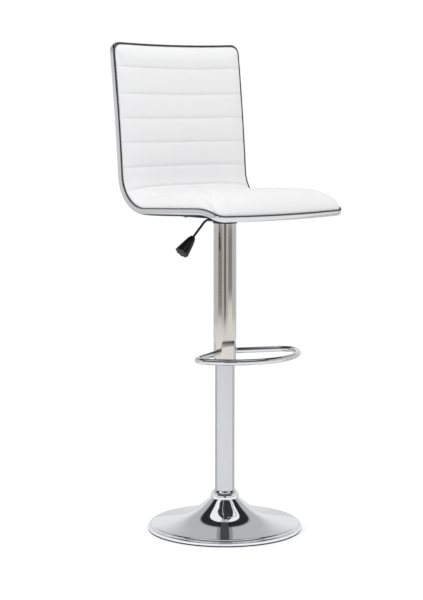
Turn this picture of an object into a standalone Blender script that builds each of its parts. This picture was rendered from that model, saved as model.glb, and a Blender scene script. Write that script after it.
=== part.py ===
"""Adjustable swivel stool: a bent padded seat on a gas lift column, with a footrest and a trumpet base.

Run with: blender --background --python part.py
Units are metres and +Z is up. The origin is on the column's axis at floor level. The sitter faces -Y.
"""

import math

import bmesh
import bpy
from mathutils import Vector

GAP = 0.0003  # clearance between pieces that rest on each other
RUNNING_GAP = 0.0004  # clearance round a piece that slides or turns

# Trumpet base
BASE_RADIUS = 0.195
BASE_SHEET = 0.0015
LIP_ROUND = 0.004
LIP_HEIGHT = 0.0095
SHOULDER_RISE = 0.0050  # the disc's quick rise just inside its lip
SHOULDER_REACH = 0.0014
DISC_SLOPE = 0.165
NECK_STEP = 0.0095  # how far the neck stands off the guard tube
NECK_FLARE = 0.0367
FLARE_REACH = 0.040
FLARE_POWER = 1.5
NECK_CURL = 0.0030
CURL_REACH = 0.004
NECK_STUB = 0.004
BASE_ROWS = 16  # rows of the disc's profile, closest together at its lip and neck
EDGE_RING_HEIGHT = 0.0027
EDGE_RING_WIDTH = 0.0125
PLATE_THICKNESS = 0.003
PLATE_CLEARANCE = 0.0005  # between the plate's edge and the rubber ring

# Collar and socket
COLLAR_HEIGHT = 0.0183
COLLAR_WALL = 0.0013
SOCKET_WALL = 0.0036
SOCKET_FLOOR = 0.004
SOCKET_FLOOR_RISE = 0.0040
SOCKET_HEIGHT = 0.045

# Column tubes
LOWER_TUBE_RADIUS = 0.025
LOWER_TUBE_WALL = 0.0015
UPPER_TUBE_STEP = 0.0037  # how much wider the sliding tube is than the guard tube
UPPER_TUBE_WALL = 0.0015
TUBE_OVERLAP = 0.109
LIFT_TRAVEL = 0.21
LIFT_CLEARANCE = 0.004  # between the taper cup and the bush when the seat is lowest
RING_LIP = 0.0003
RING_HEIGHT = 0.0050
GLIDE_LENGTH = 0.024
BUSH_LENGTH = 0.045
BUSH_FLANGE = 0.003

# Gas lift
ROD_RADIUS = 0.005
CYLINDER_RADIUS = 0.014
CYLINDER_WALL = 0.0015
CYLINDER_CAP = 0.004
CYLINDER_TOP_DROP = 0.0015
CYLINDER_DROP = 0.114  # how far the gas cylinder reaches below the sliding tube
PISTON_LENGTH = 0.015
PISTON_RISE = 0.008
RACE_RADIUS = 0.014
RACE_THICKNESS = 0.0015
BEARING_THICKNESS = 0.0032
CLIP_RADIUS = 0.0095
CLIP_THICKNESS = 0.0015
SHOULDER_RADIUS = 0.0085
SHOULDER_LENGTH = 0.010
BUTTON_RADIUS = 0.003
BUTTON_LENGTH = 0.011

# Seat mechanism
HOUSING_BOTTOM = 0.7845
HOUSING_HEIGHT = 0.0122
HOUSING_WALL = 0.0012
HOUSING_BACK_X = 0.036
HOUSING_LEVER_X = -0.038
HOUSING_HALF_Y = 0.020
CUP_WALL = 0.004
CUP_LENGTH = 0.026
SEAT_PLATE_THICKNESS = 0.003
SEAT_PLATE_HALF_X = 0.095
SEAT_PLATE_HALF_Y = 0.078
SCREW_X = 0.078
SCREW_Y = 0.060
SCREW_RADIUS = 0.003
SCREW_HEAD_RADIUS = 0.0052
SCREW_HEAD_HEIGHT = 0.0032
SCREW_BITE = 0.006
SCREW_CLEARANCE = 0.0004

# Lever
LEVER_RADIUS = 0.003
LEVER_PIVOT_X = -0.030
LEVER_INNER_X = 0.004
LEVER_BEND_X = -0.062
LEVER_DROP_DEG = 44.5
LEVER_SLANT_LENGTH = 0.060
LEVER_LIFT = 0.0053
LEVER_PIN_RADIUS = 0.0013
GRIP_LENGTH = 0.054
GRIP_ROOT_RADIUS = 0.0075
GRIP_END_RADIUS = 0.0178
GRIP_LOBES = 8
GRIP_LOBE_DEPTH = 0.0013

# Footrest
FOOTREST_RISE = 0.023  # above the bottom of the sliding tube
FOOTREST_TUBE_RADIUS = 0.008
FOOTREST_ARM_SLOPE_DEG = 25.0
FOOTREST_ARM_LENGTH = 0.146
FOOTREST_ARM_START_Y = 0.008
FOOTREST_END_RADIUS = 0.036
FOOTREST_REACH = 0.190

# Side profile of the seat, as arcs chained from its front edge
FRONT_EDGE_Y = -0.215
FRONT_EDGE_RISE = 0.012  # above the seat plate
LIP_LENGTH = 0.087
LIP_START_DEG = 24.0
SEAT_SLOPE_DEG = -2.5
SEAT_FLAT_LENGTH = 0.195
BEND_RADIUS = 0.085
BACK_FOOT_DEG = 86.0
BACK_LENGTH = 0.333
BACK_TOP_DEG = 82.6

# Outline of the seat, laid flat
SEAT_WIDTH = 0.419
TOP_CORNER = 0.026
FRONT_CORNER = 0.024
FRONT_BOW = 0.008
TOP_DIP = 0.005

# Trim, shell and upholstery, across the thickness of the seat
TRIM_THICKNESS = 0.0012
TRIM_FRONT = 0.0006
TRIM_DEPTH = 0.0130
TRIM_CLEARANCE = 0.0007
GASKET_RADIUS = 0.0018
SHELL_FRONT = -0.0018
SHELL_THICKNESS = 0.009
COVER_SHEET = 0.0012
COVER_BACK_DEPTH = 0.0014
UNDER_BULGE = 0.0105
UNDER_LEAN = 1.7  # above 1 where the bulge is deepest behind the middle
BACK_BULGE = 0.004
SEAT_CROWN = 0.038
BACK_CROWN = 0.018
CROWN_EDGE = 0.030
FRONT_CROWN_REACH = 0.105  # how far the crown's top stays from the front edge
SEAM_AFTER_BEND = 0.67  # share of the bend that belongs to the seat cushion
UNDER_COVER_END = 0.55  # share of the bend that the under cover reaches

LATHE_STEPS = 40
SMALL_STEPS = 20
COLUMNS = 8
STATION_STEPS = (4, 3, 8, 5)  # rows in each arc of the side profile
STATION_CLEAR = 0.007

CHROME = ((0.78, 0.79, 0.80, 1.0), 0.08, 1.0)
STEEL = ((0.45, 0.46, 0.47, 1.0), 0.35, 0.9)
BLACK_STEEL = ((0.02, 0.02, 0.022, 1.0), 0.4, 0.3)
BLACK_RUBBER = ((0.02, 0.02, 0.02, 1.0), 0.8, 0.0)
BLACK_PLASTIC = ((0.025, 0.024, 0.025, 1.0), 0.5, 0.0)
WHITE_LEATHER = ((0.86, 0.86, 0.87, 1.0), 0.45, 0.0)
FOAM = ((0.85, 0.80, 0.62, 1.0), 0.9, 0.0)
PLYWOOD = ((0.62, 0.45, 0.28, 1.0), 0.65, 0.0)


def clear_scene():
    """Removes every object of the scene, so the script starts from nothing."""
    for old in list(bpy.data.objects):
        bpy.data.objects.remove(old, do_unlink=True)


def new_collection(name):
    """Adds a collection to the scene."""
    collection = bpy.data.collections.new(name)
    bpy.context.scene.collection.children.link(collection)
    return collection


def dress(obj, finish):
    """Gives an object a Principled BSDF material of its own."""
    color, roughness, metallic = finish
    material = bpy.data.materials.new(obj.name)
    material.use_nodes = True
    shader = material.node_tree.nodes["Principled BSDF"]
    shader.inputs["Base Color"].default_value = color
    shader.inputs["Roughness"].default_value = roughness
    shader.inputs["Metallic"].default_value = metallic
    material.diffuse_color = color
    obj.data.materials.append(material)


def add_object(name, data, finish, collection):
    """Puts mesh or curve data in the scene as one named piece."""
    obj = bpy.data.objects.new(name, data)
    collection.objects.link(obj)
    if finish:
        dress(obj, finish)
    return obj


def mesh_object(name, bm, finish, collection, smooth=False):
    """Turns a bmesh into one named piece."""
    mesh = bpy.data.meshes.new(name)
    bm.to_mesh(mesh)
    bm.free()
    if smooth:
        mesh.shade_smooth()
        mesh.set_sharp_from_angle(angle=math.radians(35))
    return add_object(name, mesh, finish, collection)


def lathe(name, profile, finish, collection, steps=SMALL_STEPS, closed=True):
    """Turns a profile of (radius, height) points round the Z axis.

    The profile runs down its outer side and, where closed, back up its inner side.
    """
    bm = bmesh.new()
    verts = [bm.verts.new((radius, 0.0, height)) for radius, height in profile]
    for first, second in zip(verts, verts[1:]):
        bm.edges.new((first, second))
    if closed:
        bm.edges.new((verts[-1], verts[0]))
    obj = mesh_object(name, bm, finish, collection)
    screw = obj.modifiers.new("turn", "SCREW")
    screw.steps = steps
    screw.render_steps = steps
    screw.use_merge_vertices = True
    screw.merge_threshold = 0.00001
    screw.use_smooth_shade = True
    return obj


def ring(name, inner, outer, bottom, top, finish, collection, steps=SMALL_STEPS):
    """A plain turned ring or tube between two radii and two heights."""
    profile = [(outer, top), (outer, bottom), (inner, bottom), (inner, top)]
    return lathe(name, profile, finish, collection, steps)


def box(name, low, high, finish, collection, bevel=0.0):
    """A box between two corners, with rounded upright edges where a bevel is given."""
    bm = bmesh.new()
    bmesh.ops.create_cube(bm, size=1.0)
    middle = (Vector(low) + Vector(high)) / 2
    size = Vector(high) - Vector(low)
    for vert in bm.verts:
        vert.co = Vector(a * b for a, b in zip(vert.co, size)) + middle
    if bevel:
        upright = [e for e in bm.edges if abs((e.verts[0].co - e.verts[1].co).z) > size.z / 2]
        bmesh.ops.bevel(bm, geom=upright, offset=bevel, segments=3, affect="EDGES", profile=0.5)
    return mesh_object(name, bm, finish, collection)


def bent_tube(name, points, radius, finish, collection, resolution=3, cyclic=False):
    """A round tube, wire or rod along a list of points, with closed ends."""
    curve = bpy.data.curves.new(name, "CURVE")
    curve.dimensions = "3D"
    curve.bevel_depth = radius
    curve.bevel_resolution = resolution
    curve.use_fill_caps = not cyclic
    spline = curve.splines.new("POLY")
    spline.points.add(len(points) - 1)
    for place, point in zip(spline.points, points):
        place.co = (*point, 1.0)
    spline.use_cyclic_u = cyclic
    return add_object(name, curve, finish, collection)


def as_mesh(obj, collection):
    """Replaces a curve object by a welded mesh of the same name, so that it can be cut."""
    bpy.context.view_layer.update()
    name = obj.name
    evaluated = obj.evaluated_get(bpy.context.evaluated_depsgraph_get())
    mesh = bpy.data.meshes.new_from_object(evaluated)
    bm = bmesh.new()
    bm.from_mesh(mesh)
    bmesh.ops.remove_doubles(bm, verts=bm.verts, dist=0.00001)
    bm.to_mesh(mesh)
    bm.free()
    place = obj.matrix_world.copy()
    bpy.data.objects.remove(obj, do_unlink=True)
    welded = bpy.data.objects.new(name, mesh)
    welded.matrix_world = place
    collection.objects.link(welded)
    return welded


def cutter_rods(name, places, radius, low, high, collection, axis="Z"):
    """One cutter object of parallel round rods, which a Boolean takes away from a piece."""
    bm = bmesh.new()
    for place in places:
        made = bmesh.ops.create_cone(
            bm, cap_ends=True, segments=16, radius1=radius, radius2=radius, depth=high - low
        )
        for vert in made["verts"]:
            x, y, z = vert.co
            if axis == "Y":
                vert.co = Vector((x, z, -y))
            vert.co += Vector(place)
            if axis == "Y":
                vert.co.y += (low + high) / 2
            else:
                vert.co.z += (low + high) / 2
    cutter = mesh_object(name, bm, None, collection)
    cutter.hide_render = True
    cutter.display_type = "WIRE"
    return cutter


def cutter_box(name, low, high, collection):
    """One cutter object that is a box."""
    cutter = box(name, low, high, None, collection)
    cutter.hide_render = True
    cutter.display_type = "WIRE"
    return cutter


def cut(obj, cutter):
    """Takes a cutter's shape away from a piece."""
    boolean = obj.modifiers.new(cutter.name, "BOOLEAN")
    boolean.operation = "DIFFERENCE"
    boolean.solver = "EXACT"
    boolean.object = cutter


def thicken(obj, thickness, offset):
    """Gives an open surface its thickness."""
    solid = obj.modifiers.new("thickness", "SOLIDIFY")
    solid.thickness = thickness
    solid.offset = offset
    solid.use_even_offset = True
    solid.use_rim = True


# ---------------------------------------------------------------- heights that follow from the sizes


NECK_RADIUS = LOWER_TUBE_RADIUS + NECK_STEP
UPPER_TUBE_RADIUS = LOWER_TUBE_RADIUS + UPPER_TUBE_STEP


def trumpet_height(radius):
    """Height of the base shell's outer face: a shoulder, a shallow disc and the neck's flare."""
    inward = BASE_RADIUS - LIP_ROUND - radius
    outward = max(radius - NECK_RADIUS, 0.0)
    shoulder = SHOULDER_RISE * (1.0 - math.exp(-inward / SHOULDER_REACH))
    flare = NECK_FLARE * math.exp(-((outward / FLARE_REACH) ** FLARE_POWER))
    curl = NECK_CURL * math.exp(-outward / CURL_REACH)
    return LIP_HEIGHT + LIP_ROUND / 2 + shoulder + DISC_SLOPE * inward + flare + curl


NECK_TOP = trumpet_height(NECK_RADIUS)
BASE_FLOOR = EDGE_RING_HEIGHT + GAP
PLATE_TOP = BASE_FLOOR + PLATE_THICKNESS
SOCKET_FLOOR_BOTTOM = PLATE_TOP + GAP + SOCKET_FLOOR_RISE
SOCKET_FLOOR_TOP = SOCKET_FLOOR_BOTTOM + SOCKET_FLOOR
LOWER_TUBE_BOTTOM = SOCKET_FLOOR_TOP + GAP
LOWER_TUBE_BORE = LOWER_TUBE_RADIUS - LOWER_TUBE_WALL
LOWER_RACE_TOP = SOCKET_FLOOR_TOP + GAP + RACE_THICKNESS
BEARING_TOP = LOWER_RACE_TOP + GAP + BEARING_THICKNESS
UPPER_RACE_TOP = BEARING_TOP + GAP + RACE_THICKNESS
SHOULDER_BOTTOM = UPPER_RACE_TOP + GAP
CLIP_TOP = SOCKET_FLOOR_BOTTOM - GAP
CLIP_BOTTOM = CLIP_TOP - CLIP_THICKNESS
ROD_BOTTOM = CLIP_BOTTOM - 0.0010
UPPER_TUBE_BORE = UPPER_TUBE_RADIUS - UPPER_TUBE_WALL
UPPER_TUBE_TOP = HOUSING_BOTTOM - GAP
LOWER_TUBE_TOP = UPPER_TUBE_TOP - CUP_LENGTH - LIFT_TRAVEL - LIFT_CLEARANCE - BUSH_FLANGE - GAP
UPPER_TUBE_BOTTOM = LOWER_TUBE_TOP - TUBE_OVERLAP
FOOTREST_HEIGHT = UPPER_TUBE_BOTTOM + FOOTREST_RISE
CYLINDER_BOTTOM = UPPER_TUBE_BOTTOM - CYLINDER_DROP
HOUSING_TOP = HOUSING_BOTTOM + HOUSING_HEIGHT
HOUSING_FLOOR_TOP = HOUSING_BOTTOM + HOUSING_WALL
SEAT_PLATE_BOTTOM = HOUSING_TOP + GAP
SEAT_PLATE_TOP = SEAT_PLATE_BOTTOM + SEAT_PLATE_THICKNESS
LEVER_HEIGHT = HOUSING_FLOOR_TOP + LEVER_LIFT
BUTTON_TOP = LEVER_HEIGHT - LEVER_RADIUS - GAP
CYLINDER_TOP = HOUSING_BOTTOM - CYLINDER_TOP_DROP
ROD_TOP = CYLINDER_BOTTOM + PISTON_RISE
FRONT_EDGE_Z = SEAT_PLATE_TOP + FRONT_EDGE_RISE


def side_profile():
    """The side profile's arcs, as (length, start angle, end angle, y, z) from the front edge to the top."""
    start, slope = math.radians(LIP_START_DEG), math.radians(SEAT_SLOPE_DEG)
    foot, top = math.radians(BACK_FOOT_DEG), math.radians(BACK_TOP_DEG)
    bend_length = BEND_RADIUS * (foot - slope)
    stretches = (
        (LIP_LENGTH, start, slope),
        (SEAT_FLAT_LENGTH, slope, slope),
        (bend_length, slope, foot),
        (BACK_LENGTH, foot, top),
    )
    y, z = FRONT_EDGE_Y, FRONT_EDGE_Z
    arcs = []
    for length, first, last in stretches:
        arcs.append((length, first, last, y, z))
        step_y, step_z = along_arc(length, first, last, length)
        y, z = y + step_y, z + step_z
    return arcs


def along_arc(length, first, last, distance):
    """How far an arc has moved in y and z after a distance along it."""
    turn = (last - first) * distance / length
    if abs(turn) < 1e-9:
        return distance * math.cos(first), distance * math.sin(first)
    radius = distance / turn
    return (
        radius * (math.sin(first + turn) - math.sin(first)),
        radius * (math.cos(first) - math.cos(first + turn)),
    )


ARCS = side_profile()
BEND_START = ARCS[0][0] + ARCS[1][0]
BEND_END = BEND_START + ARCS[2][0]
PROFILE_LENGTH = BEND_END + ARCS[3][0]
SEAM = BEND_START + SEAM_AFTER_BEND * ARCS[2][0]
UNDER_END = BEND_START + UNDER_COVER_END * ARCS[2][0]


def on_seat(across, along, raised):
    """The point of the seat at a distance across, a distance along its profile, and raised off it."""
    left = along
    for length, first, last, y, z in ARCS:
        if left <= length or length is ARCS[-1][0]:
            break
        left -= length
    step_y, step_z = along_arc(length, first, last, left)
    angle = first + (last - first) * left / length
    return Vector(
        (across, y + step_y - raised * math.sin(angle), z + step_z + raised * math.cos(angle))
    )


def half_width(along, inset):
    """Half the seat's width at a distance along it, narrower in the round corners."""
    half = SEAT_WIDTH / 2 - inset
    ends = ((along - inset, FRONT_CORNER - inset), (PROFILE_LENGTH - inset - along, TOP_CORNER - inset))
    for to_end, corner in ends:
        if to_end < corner:
            depth = corner - max(to_end, 0.0)
            half -= corner - math.sqrt(max(corner**2 - depth**2, 0.0))
    return half


def bowed(across, along):
    """Moves a place along the seat with its front edge's bow and its top edge's dip."""
    middle = 1.0 - (across / (SEAT_WIDTH / 2)) ** 2
    toward_front = 1.0 - min(along / LIP_LENGTH, 1.0)
    toward_top = max(along - BEND_END, 0.0) / BACK_LENGTH
    return along - FRONT_BOW * middle * toward_front - TOP_DIP * middle * toward_top


def stations():
    """Places along the profile where every piece that follows it has a row, so that their facets nest."""
    places, start = [], 0.0
    for (length, *_), count in zip(ARCS, STATION_STEPS):
        places += [start + length * i / count for i in range(count)]
        start += length
    joins = [SEAM, UNDER_END]
    clear = [place for place in places if min(abs(place - join) for join in joins) > STATION_CLEAR]
    return sorted(clear + joins)


def rows_between(start, end, start_corner, end_corner):
    """Rows from start to end: on the stations, and closer together in the round corners at the ends."""
    places = [start]
    if start_corner:
        places += [start + start_corner * (1 - math.cos(math.pi / 2 * i / 4)) for i in range(1, 5)]
    last = [end - end_corner * (1 - math.sin(math.pi / 2 * i / 4)) for i in range(4)] if end_corner else []
    limit = last[0] if last else end
    places += [place for place in stations() if places[-1] + GAP < place < limit - GAP]
    return places + last + [end]


def seat_block(name, places, inset, bottom, top, finish, collection, floor=None):
    """A closed block that follows the seat, between a bottom and a top given as functions.

    Over the seat plate its bottom is flat at the height floor, where that is given.
    """
    bm = bmesh.new()
    bmesh.ops.create_grid(bm, x_segments=COLUMNS, y_segments=len(places) - 1, size=1.0)
    sheet = list(bm.faces)
    lifted = bmesh.ops.extrude_face_region(bm, geom=sheet)
    for item in lifted["geom"]:
        if isinstance(item, bmesh.types.BMVert):
            item.co.z = 1.0
    for vert in bm.verts:
        share = math.sin(vert.co.x * math.pi / 2)
        row = round((vert.co.y + 1.0) / 2.0 * (len(places) - 1))
        along = places[row]
        across = share * half_width(along, inset)
        is_top = vert.co.z > 0.5
        height = top(share, along) if is_top else bottom(share, along)
        vert.co = on_seat(across, bowed(across, along), height)
        if floor is not None and not is_top and abs(vert.co.y) < 1.5 * SEAT_PLATE_HALF_Y:
            vert.co.z = max(vert.co.z, floor)
    bm.normal_update()
    bmesh.ops.recalc_face_normals(bm, faces=bm.faces)
    return mesh_object(name, bm, finish, collection, smooth=True)


def swell(to_edge, reach):
    """Rises from 0 at an edge to 1 at a distance from it, as a quarter of an ellipse."""
    share = min(max(to_edge / reach, 0.0), 1.0)
    return math.sqrt(1.0 - (1.0 - share) ** 2)


def cushion_height(share, along, inset, start, end):
    """Height of the upholstery over the shell, crowned in the middle and falling to its edges."""
    width = half_width(along, inset)
    sideways = swell(width * (1.0 - abs(share)), CROWN_EDGE) * (0.82 + 0.18 * math.cos(share * math.pi / 2))
    from_front = swell(along - start, CROWN_EDGE) if start < BEND_START / 2 else 1.0
    from_front *= 0.70 + 0.30 * swell(along - start, FRONT_CROWN_REACH)
    from_top = swell(end - along, CROWN_EDGE) if end > BEND_END else 1.0
    blend = min(max((along - BEND_START * 0.7) / (BEND_END - BEND_START * 0.7), 0.0), 1.0)
    blend = blend * blend * (3.0 - 2.0 * blend)
    crown = SEAT_CROWN + (BACK_CROWN - SEAT_CROWN) * blend
    return crown * sideways * from_front * from_top


def rim_loop(inset, raised):
    """Points round the seat's outline, at an inset from its outer edge and raised off the profile."""
    half = SEAT_WIDTH / 2 - inset
    top = TOP_CORNER - inset
    front = FRONT_CORNER - inset
    side = rows_between(FRONT_CORNER, PROFILE_LENGTH - TOP_CORNER, 0.0, 0.0)
    flat = [(half, place) for place in side]
    flat += arc_points(half - top, PROFILE_LENGTH - TOP_CORNER, top, 0.0, 90.0, 6)
    flat += [(half - top - (2 * half - 2 * top) * i / 8, PROFILE_LENGTH - inset) for i in range(1, 8)]
    flat += arc_points(-half + top, PROFILE_LENGTH - TOP_CORNER, top, 90.0, 180.0, 6, skip_first=False)
    flat += [(-half, place) for place in reversed(side[:-1])]
    flat += arc_points(-half + front, front + inset, front, 180.0, 270.0, 6)
    flat += [(-half + front + (2 * half - 2 * front) * i / 8, inset) for i in range(1, 8)]
    flat += arc_points(half - front, front + inset, front, 270.0, 360.0, 6, skip_first=False)[:-1]
    return [on_seat(across, bowed(across, along), raised) for across, along in flat]


def arc_points(across, along, radius, start_deg, end_deg, steps, skip_first=True):
    """Points on a round corner of the flat outline."""
    angles = [
        math.radians(start_deg + (end_deg - start_deg) * i / steps)
        for i in range(1 if skip_first else 0, steps + 1)
    ]
    return [(across + radius * math.cos(a), along + radius * math.sin(a)) for a in angles]


# ---------------------------------------------------------------- base


def make_base(parts):
    """The standing base: shell, ring, plate, socket, collar and the guard tube with its bush."""
    lip = [
        (
            BASE_RADIUS - LIP_ROUND + LIP_ROUND * math.cos(math.radians(a)),
            LIP_HEIGHT - LIP_ROUND / 2 + LIP_ROUND * math.sin(math.radians(a)),
        )
        for a in (60, 30, 0)
    ]
    reach = BASE_RADIUS - LIP_ROUND - NECK_RADIUS
    shares = [(1.0 - math.cos(math.pi * i / BASE_ROWS)) / 2 for i in range(BASE_ROWS + 1)]
    radii = [NECK_RADIUS + reach * share for share in shares]
    outer = [(NECK_RADIUS, NECK_TOP + NECK_STUB)] + [(r, trumpet_height(r)) for r in radii]
    outer += lip + [(BASE_RADIUS, BASE_FLOOR)]
    shell = lathe("base_shell", outer, CHROME, parts, LATHE_STEPS, closed=False)
    thicken(shell, BASE_SHEET, -1.0)

    ring(
        "base_edge_ring", BASE_RADIUS - EDGE_RING_WIDTH, BASE_RADIUS - 0.0005,
        0.0, EDGE_RING_HEIGHT, BLACK_RUBBER, parts, LATHE_STEPS,
    )
    plate_radius = BASE_RADIUS - EDGE_RING_WIDTH - PLATE_CLEARANCE
    plate = [(0.0, PLATE_TOP), (plate_radius, PLATE_TOP), (plate_radius, BASE_FLOOR), (0.0, BASE_FLOOR)]
    lathe("base_plate", plate, BLACK_STEEL, parts, LATHE_STEPS, closed=False)

    bore = LOWER_TUBE_RADIUS + GAP
    outside = bore + SOCKET_WALL
    hole = ROD_RADIUS + RUNNING_GAP
    under = CLIP_RADIUS + 2 * RUNNING_GAP + 0.004
    socket_bottom = PLATE_TOP + GAP
    socket_top = socket_bottom + SOCKET_HEIGHT
    socket = [
        (outside, socket_top), (outside, socket_bottom), (under, socket_bottom),
        (under, SOCKET_FLOOR_BOTTOM), (hole, SOCKET_FLOOR_BOTTOM), (hole, SOCKET_FLOOR_TOP),
        (bore, SOCKET_FLOOR_TOP), (bore, socket_top),
    ]
    lathe("base_socket", socket, STEEL, parts, 32)

    make_collar(parts)
    ring(
        "lower_tube", LOWER_TUBE_BORE, LOWER_TUBE_RADIUS, LOWER_TUBE_BOTTOM, LOWER_TUBE_TOP,
        CHROME, parts, LATHE_STEPS,
    )
    bush_bore = CYLINDER_RADIUS + RUNNING_GAP
    flange = LOWER_TUBE_TOP + GAP
    bush = [
        (LOWER_TUBE_RADIUS - GAP, flange + BUSH_FLANGE), (LOWER_TUBE_RADIUS - GAP, flange),
        (LOWER_TUBE_BORE - GAP, flange), (LOWER_TUBE_BORE - GAP, flange - BUSH_LENGTH),
        (bush_bore, flange - BUSH_LENGTH), (bush_bore, flange + BUSH_FLANGE),
    ]
    lathe("guide_bush", bush, BLACK_PLASTIC, parts, 32)
    race_hole = ROD_RADIUS + RUNNING_GAP
    ring(
        "lower_race", race_hole, RACE_RADIUS, SOCKET_FLOOR_TOP + GAP, LOWER_RACE_TOP, STEEL, parts,
    )
    ring(
        "thrust_bearing", race_hole + 0.0015, RACE_RADIUS - 0.0012, LOWER_RACE_TOP + GAP, BEARING_TOP,
        STEEL, parts,
    )


def make_collar(parts):
    """The small chrome cup that covers the gap between the guard tube and the base's neck."""
    bottom = NECK_TOP + GAP
    top = bottom + COLLAR_HEIGHT
    inner = LOWER_TUBE_RADIUS + GAP
    top_radius = inner + 0.0022
    bottom_radius = NECK_RADIUS + GAP + COLLAR_WALL + 0.0004
    outer = [(top_radius, top)]
    for i in range(1, 6):
        share = i / 5
        radius = top_radius + (bottom_radius - top_radius) * math.sin(share * math.pi / 2) ** 0.8
        outer.append((radius, top - COLLAR_HEIGHT * share * share * 0.35 - COLLAR_HEIGHT * share * 0.65))
    inside = [
        (bottom_radius - COLLAR_WALL, bottom),
        (bottom_radius - COLLAR_WALL, NECK_TOP + NECK_STUB + 2 * GAP),
        (inner + 0.002, top - 0.0045),
        (inner, top - 0.003),
        (inner, top),
    ]
    lathe("base_collar", outer + inside, CHROME, parts, LATHE_STEPS)


# ---------------------------------------------------------------- gas lift rod


def make_rod(parts):
    """The pieces that turn on the thrust bearing and stay at one height."""
    hole = ROD_RADIUS + GAP
    rod = [
        (0.0, ROD_TOP), (ROD_RADIUS, ROD_TOP), (ROD_RADIUS, SHOULDER_BOTTOM + SHOULDER_LENGTH),
        (SHOULDER_RADIUS, SHOULDER_BOTTOM + SHOULDER_LENGTH), (SHOULDER_RADIUS, SHOULDER_BOTTOM),
        (ROD_RADIUS, SHOULDER_BOTTOM), (ROD_RADIUS, ROD_BOTTOM), (0.0, ROD_BOTTOM),
    ]
    piston_bottom = ROD_TOP + GAP
    piston_radius = CYLINDER_RADIUS - CYLINDER_WALL - RUNNING_GAP
    piston = [
        (0.0, piston_bottom + PISTON_LENGTH), (piston_radius, piston_bottom + PISTON_LENGTH),
        (piston_radius, piston_bottom), (0.0, piston_bottom),
    ]
    return [
        lathe("piston_rod", rod, STEEL, parts, 16, closed=False),
        lathe("piston", piston, STEEL, parts, 16, closed=False),
        ring("upper_race", hole, RACE_RADIUS, BEARING_TOP + GAP, UPPER_RACE_TOP, STEEL, parts),
        ring("retaining_clip", hole, CLIP_RADIUS, CLIP_BOTTOM, CLIP_TOP, STEEL, parts),
    ]


# ---------------------------------------------------------------- column pieces that ride with the seat


def make_column(parts):
    """The gas cylinder, the sliding outer tube with its rings, and the taper cup."""
    bore = CYLINDER_RADIUS - CYLINDER_WALL
    low_hole = ROD_RADIUS + RUNNING_GAP
    high_hole = BUTTON_RADIUS + RUNNING_GAP
    cylinder = [
        (CYLINDER_RADIUS, CYLINDER_TOP), (CYLINDER_RADIUS, CYLINDER_BOTTOM),
        (low_hole, CYLINDER_BOTTOM), (low_hole, CYLINDER_BOTTOM + CYLINDER_CAP),
        (bore, CYLINDER_BOTTOM + CYLINDER_CAP), (bore, CYLINDER_TOP - CYLINDER_CAP),
        (high_hole, CYLINDER_TOP - CYLINDER_CAP), (high_hole, CYLINDER_TOP),
    ]
    pieces = [lathe("gas_cylinder", cylinder, STEEL, parts, SMALL_STEPS)]
    pieces.append(
        ring(
            "upper_tube", UPPER_TUBE_BORE, UPPER_TUBE_RADIUS, UPPER_TUBE_BOTTOM, UPPER_TUBE_TOP,
            CHROME, parts, LATHE_STEPS,
        )
    )
    glide_top = UPPER_TUBE_BOTTOM - GAP
    glide_bottom = glide_top - RING_HEIGHT
    glide_bore = LOWER_TUBE_RADIUS + RUNNING_GAP
    glide_lip = UPPER_TUBE_RADIUS + RING_LIP
    glide_sleeve = UPPER_TUBE_BORE - GAP
    glide = [
        (glide_sleeve, glide_top + GLIDE_LENGTH), (glide_sleeve, glide_top), (glide_lip, glide_top),
        (glide_lip, glide_bottom), (glide_bore, glide_bottom), (glide_bore, glide_top + GLIDE_LENGTH),
    ]
    pieces.append(lathe("upper_tube_bottom_ring", glide, BLACK_PLASTIC, parts, LATHE_STEPS))
    top_bore = UPPER_TUBE_RADIUS + GAP
    pieces.append(
        ring(
            "upper_tube_top_ring", top_bore, top_bore + 0.0016, UPPER_TUBE_TOP - RING_HEIGHT,
            UPPER_TUBE_TOP, BLACK_PLASTIC, parts, LATHE_STEPS,
        )
    )
    cup_bore = CYLINDER_RADIUS + GAP
    pieces.append(
        ring(
            "taper_cup", cup_bore, cup_bore + CUP_WALL, UPPER_TUBE_TOP - CUP_LENGTH, UPPER_TUBE_TOP,
            STEEL, parts,
        )
    )
    return pieces


def footrest_path():
    """Points along the footrest's centreline: an arm, a round end, the front bow, and back."""
    slope = math.radians(FOOTREST_ARM_SLOPE_DEG)
    arm = Vector((math.cos(slope), -math.sin(slope), 0.0))
    forward = Vector((-math.sin(slope), -math.cos(slope), 0.0))
    origin = Vector((0.0, FOOTREST_ARM_START_Y, FOOTREST_HEIGHT))
    start_x = UPPER_TUBE_RADIUS + GAP + FOOTREST_TUBE_RADIUS * math.tan(slope)
    start = origin + arm * (start_x / arm.x)
    end_middle = origin + arm * FOOTREST_ARM_LENGTH + forward * FOOTREST_END_RADIUS
    drop = end_middle.y + FOOTREST_REACH
    rise = end_middle.x**2 + drop**2 - FOOTREST_END_RADIUS**2
    front_radius = rise / (2 * (drop - FOOTREST_END_RADIUS))
    front_middle = Vector((0.0, front_radius - FOOTREST_REACH, FOOTREST_HEIGHT))
    outward = (end_middle - front_middle).normalized()
    first = math.pi / 2 - slope
    last = math.atan2(outward.y, outward.x)
    half = [start, start.lerp(origin + arm * FOOTREST_ARM_LENGTH, 0.5)]
    for i in range(9):
        angle = first + (last - first) * i / 8
        turn = Vector((math.cos(angle), math.sin(angle), 0.0))
        half.append(end_middle + turn * FOOTREST_END_RADIUS)
    for i in range(1, 10):
        angle = last + (-math.pi / 2 - last) * i / 9
        turn = Vector((math.cos(angle), math.sin(angle), 0.0))
        half.append(front_middle + turn * front_radius)
    other = [Vector((-point.x, point.y, point.z)) for point in reversed(half[:-1])]
    return half + other


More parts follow.
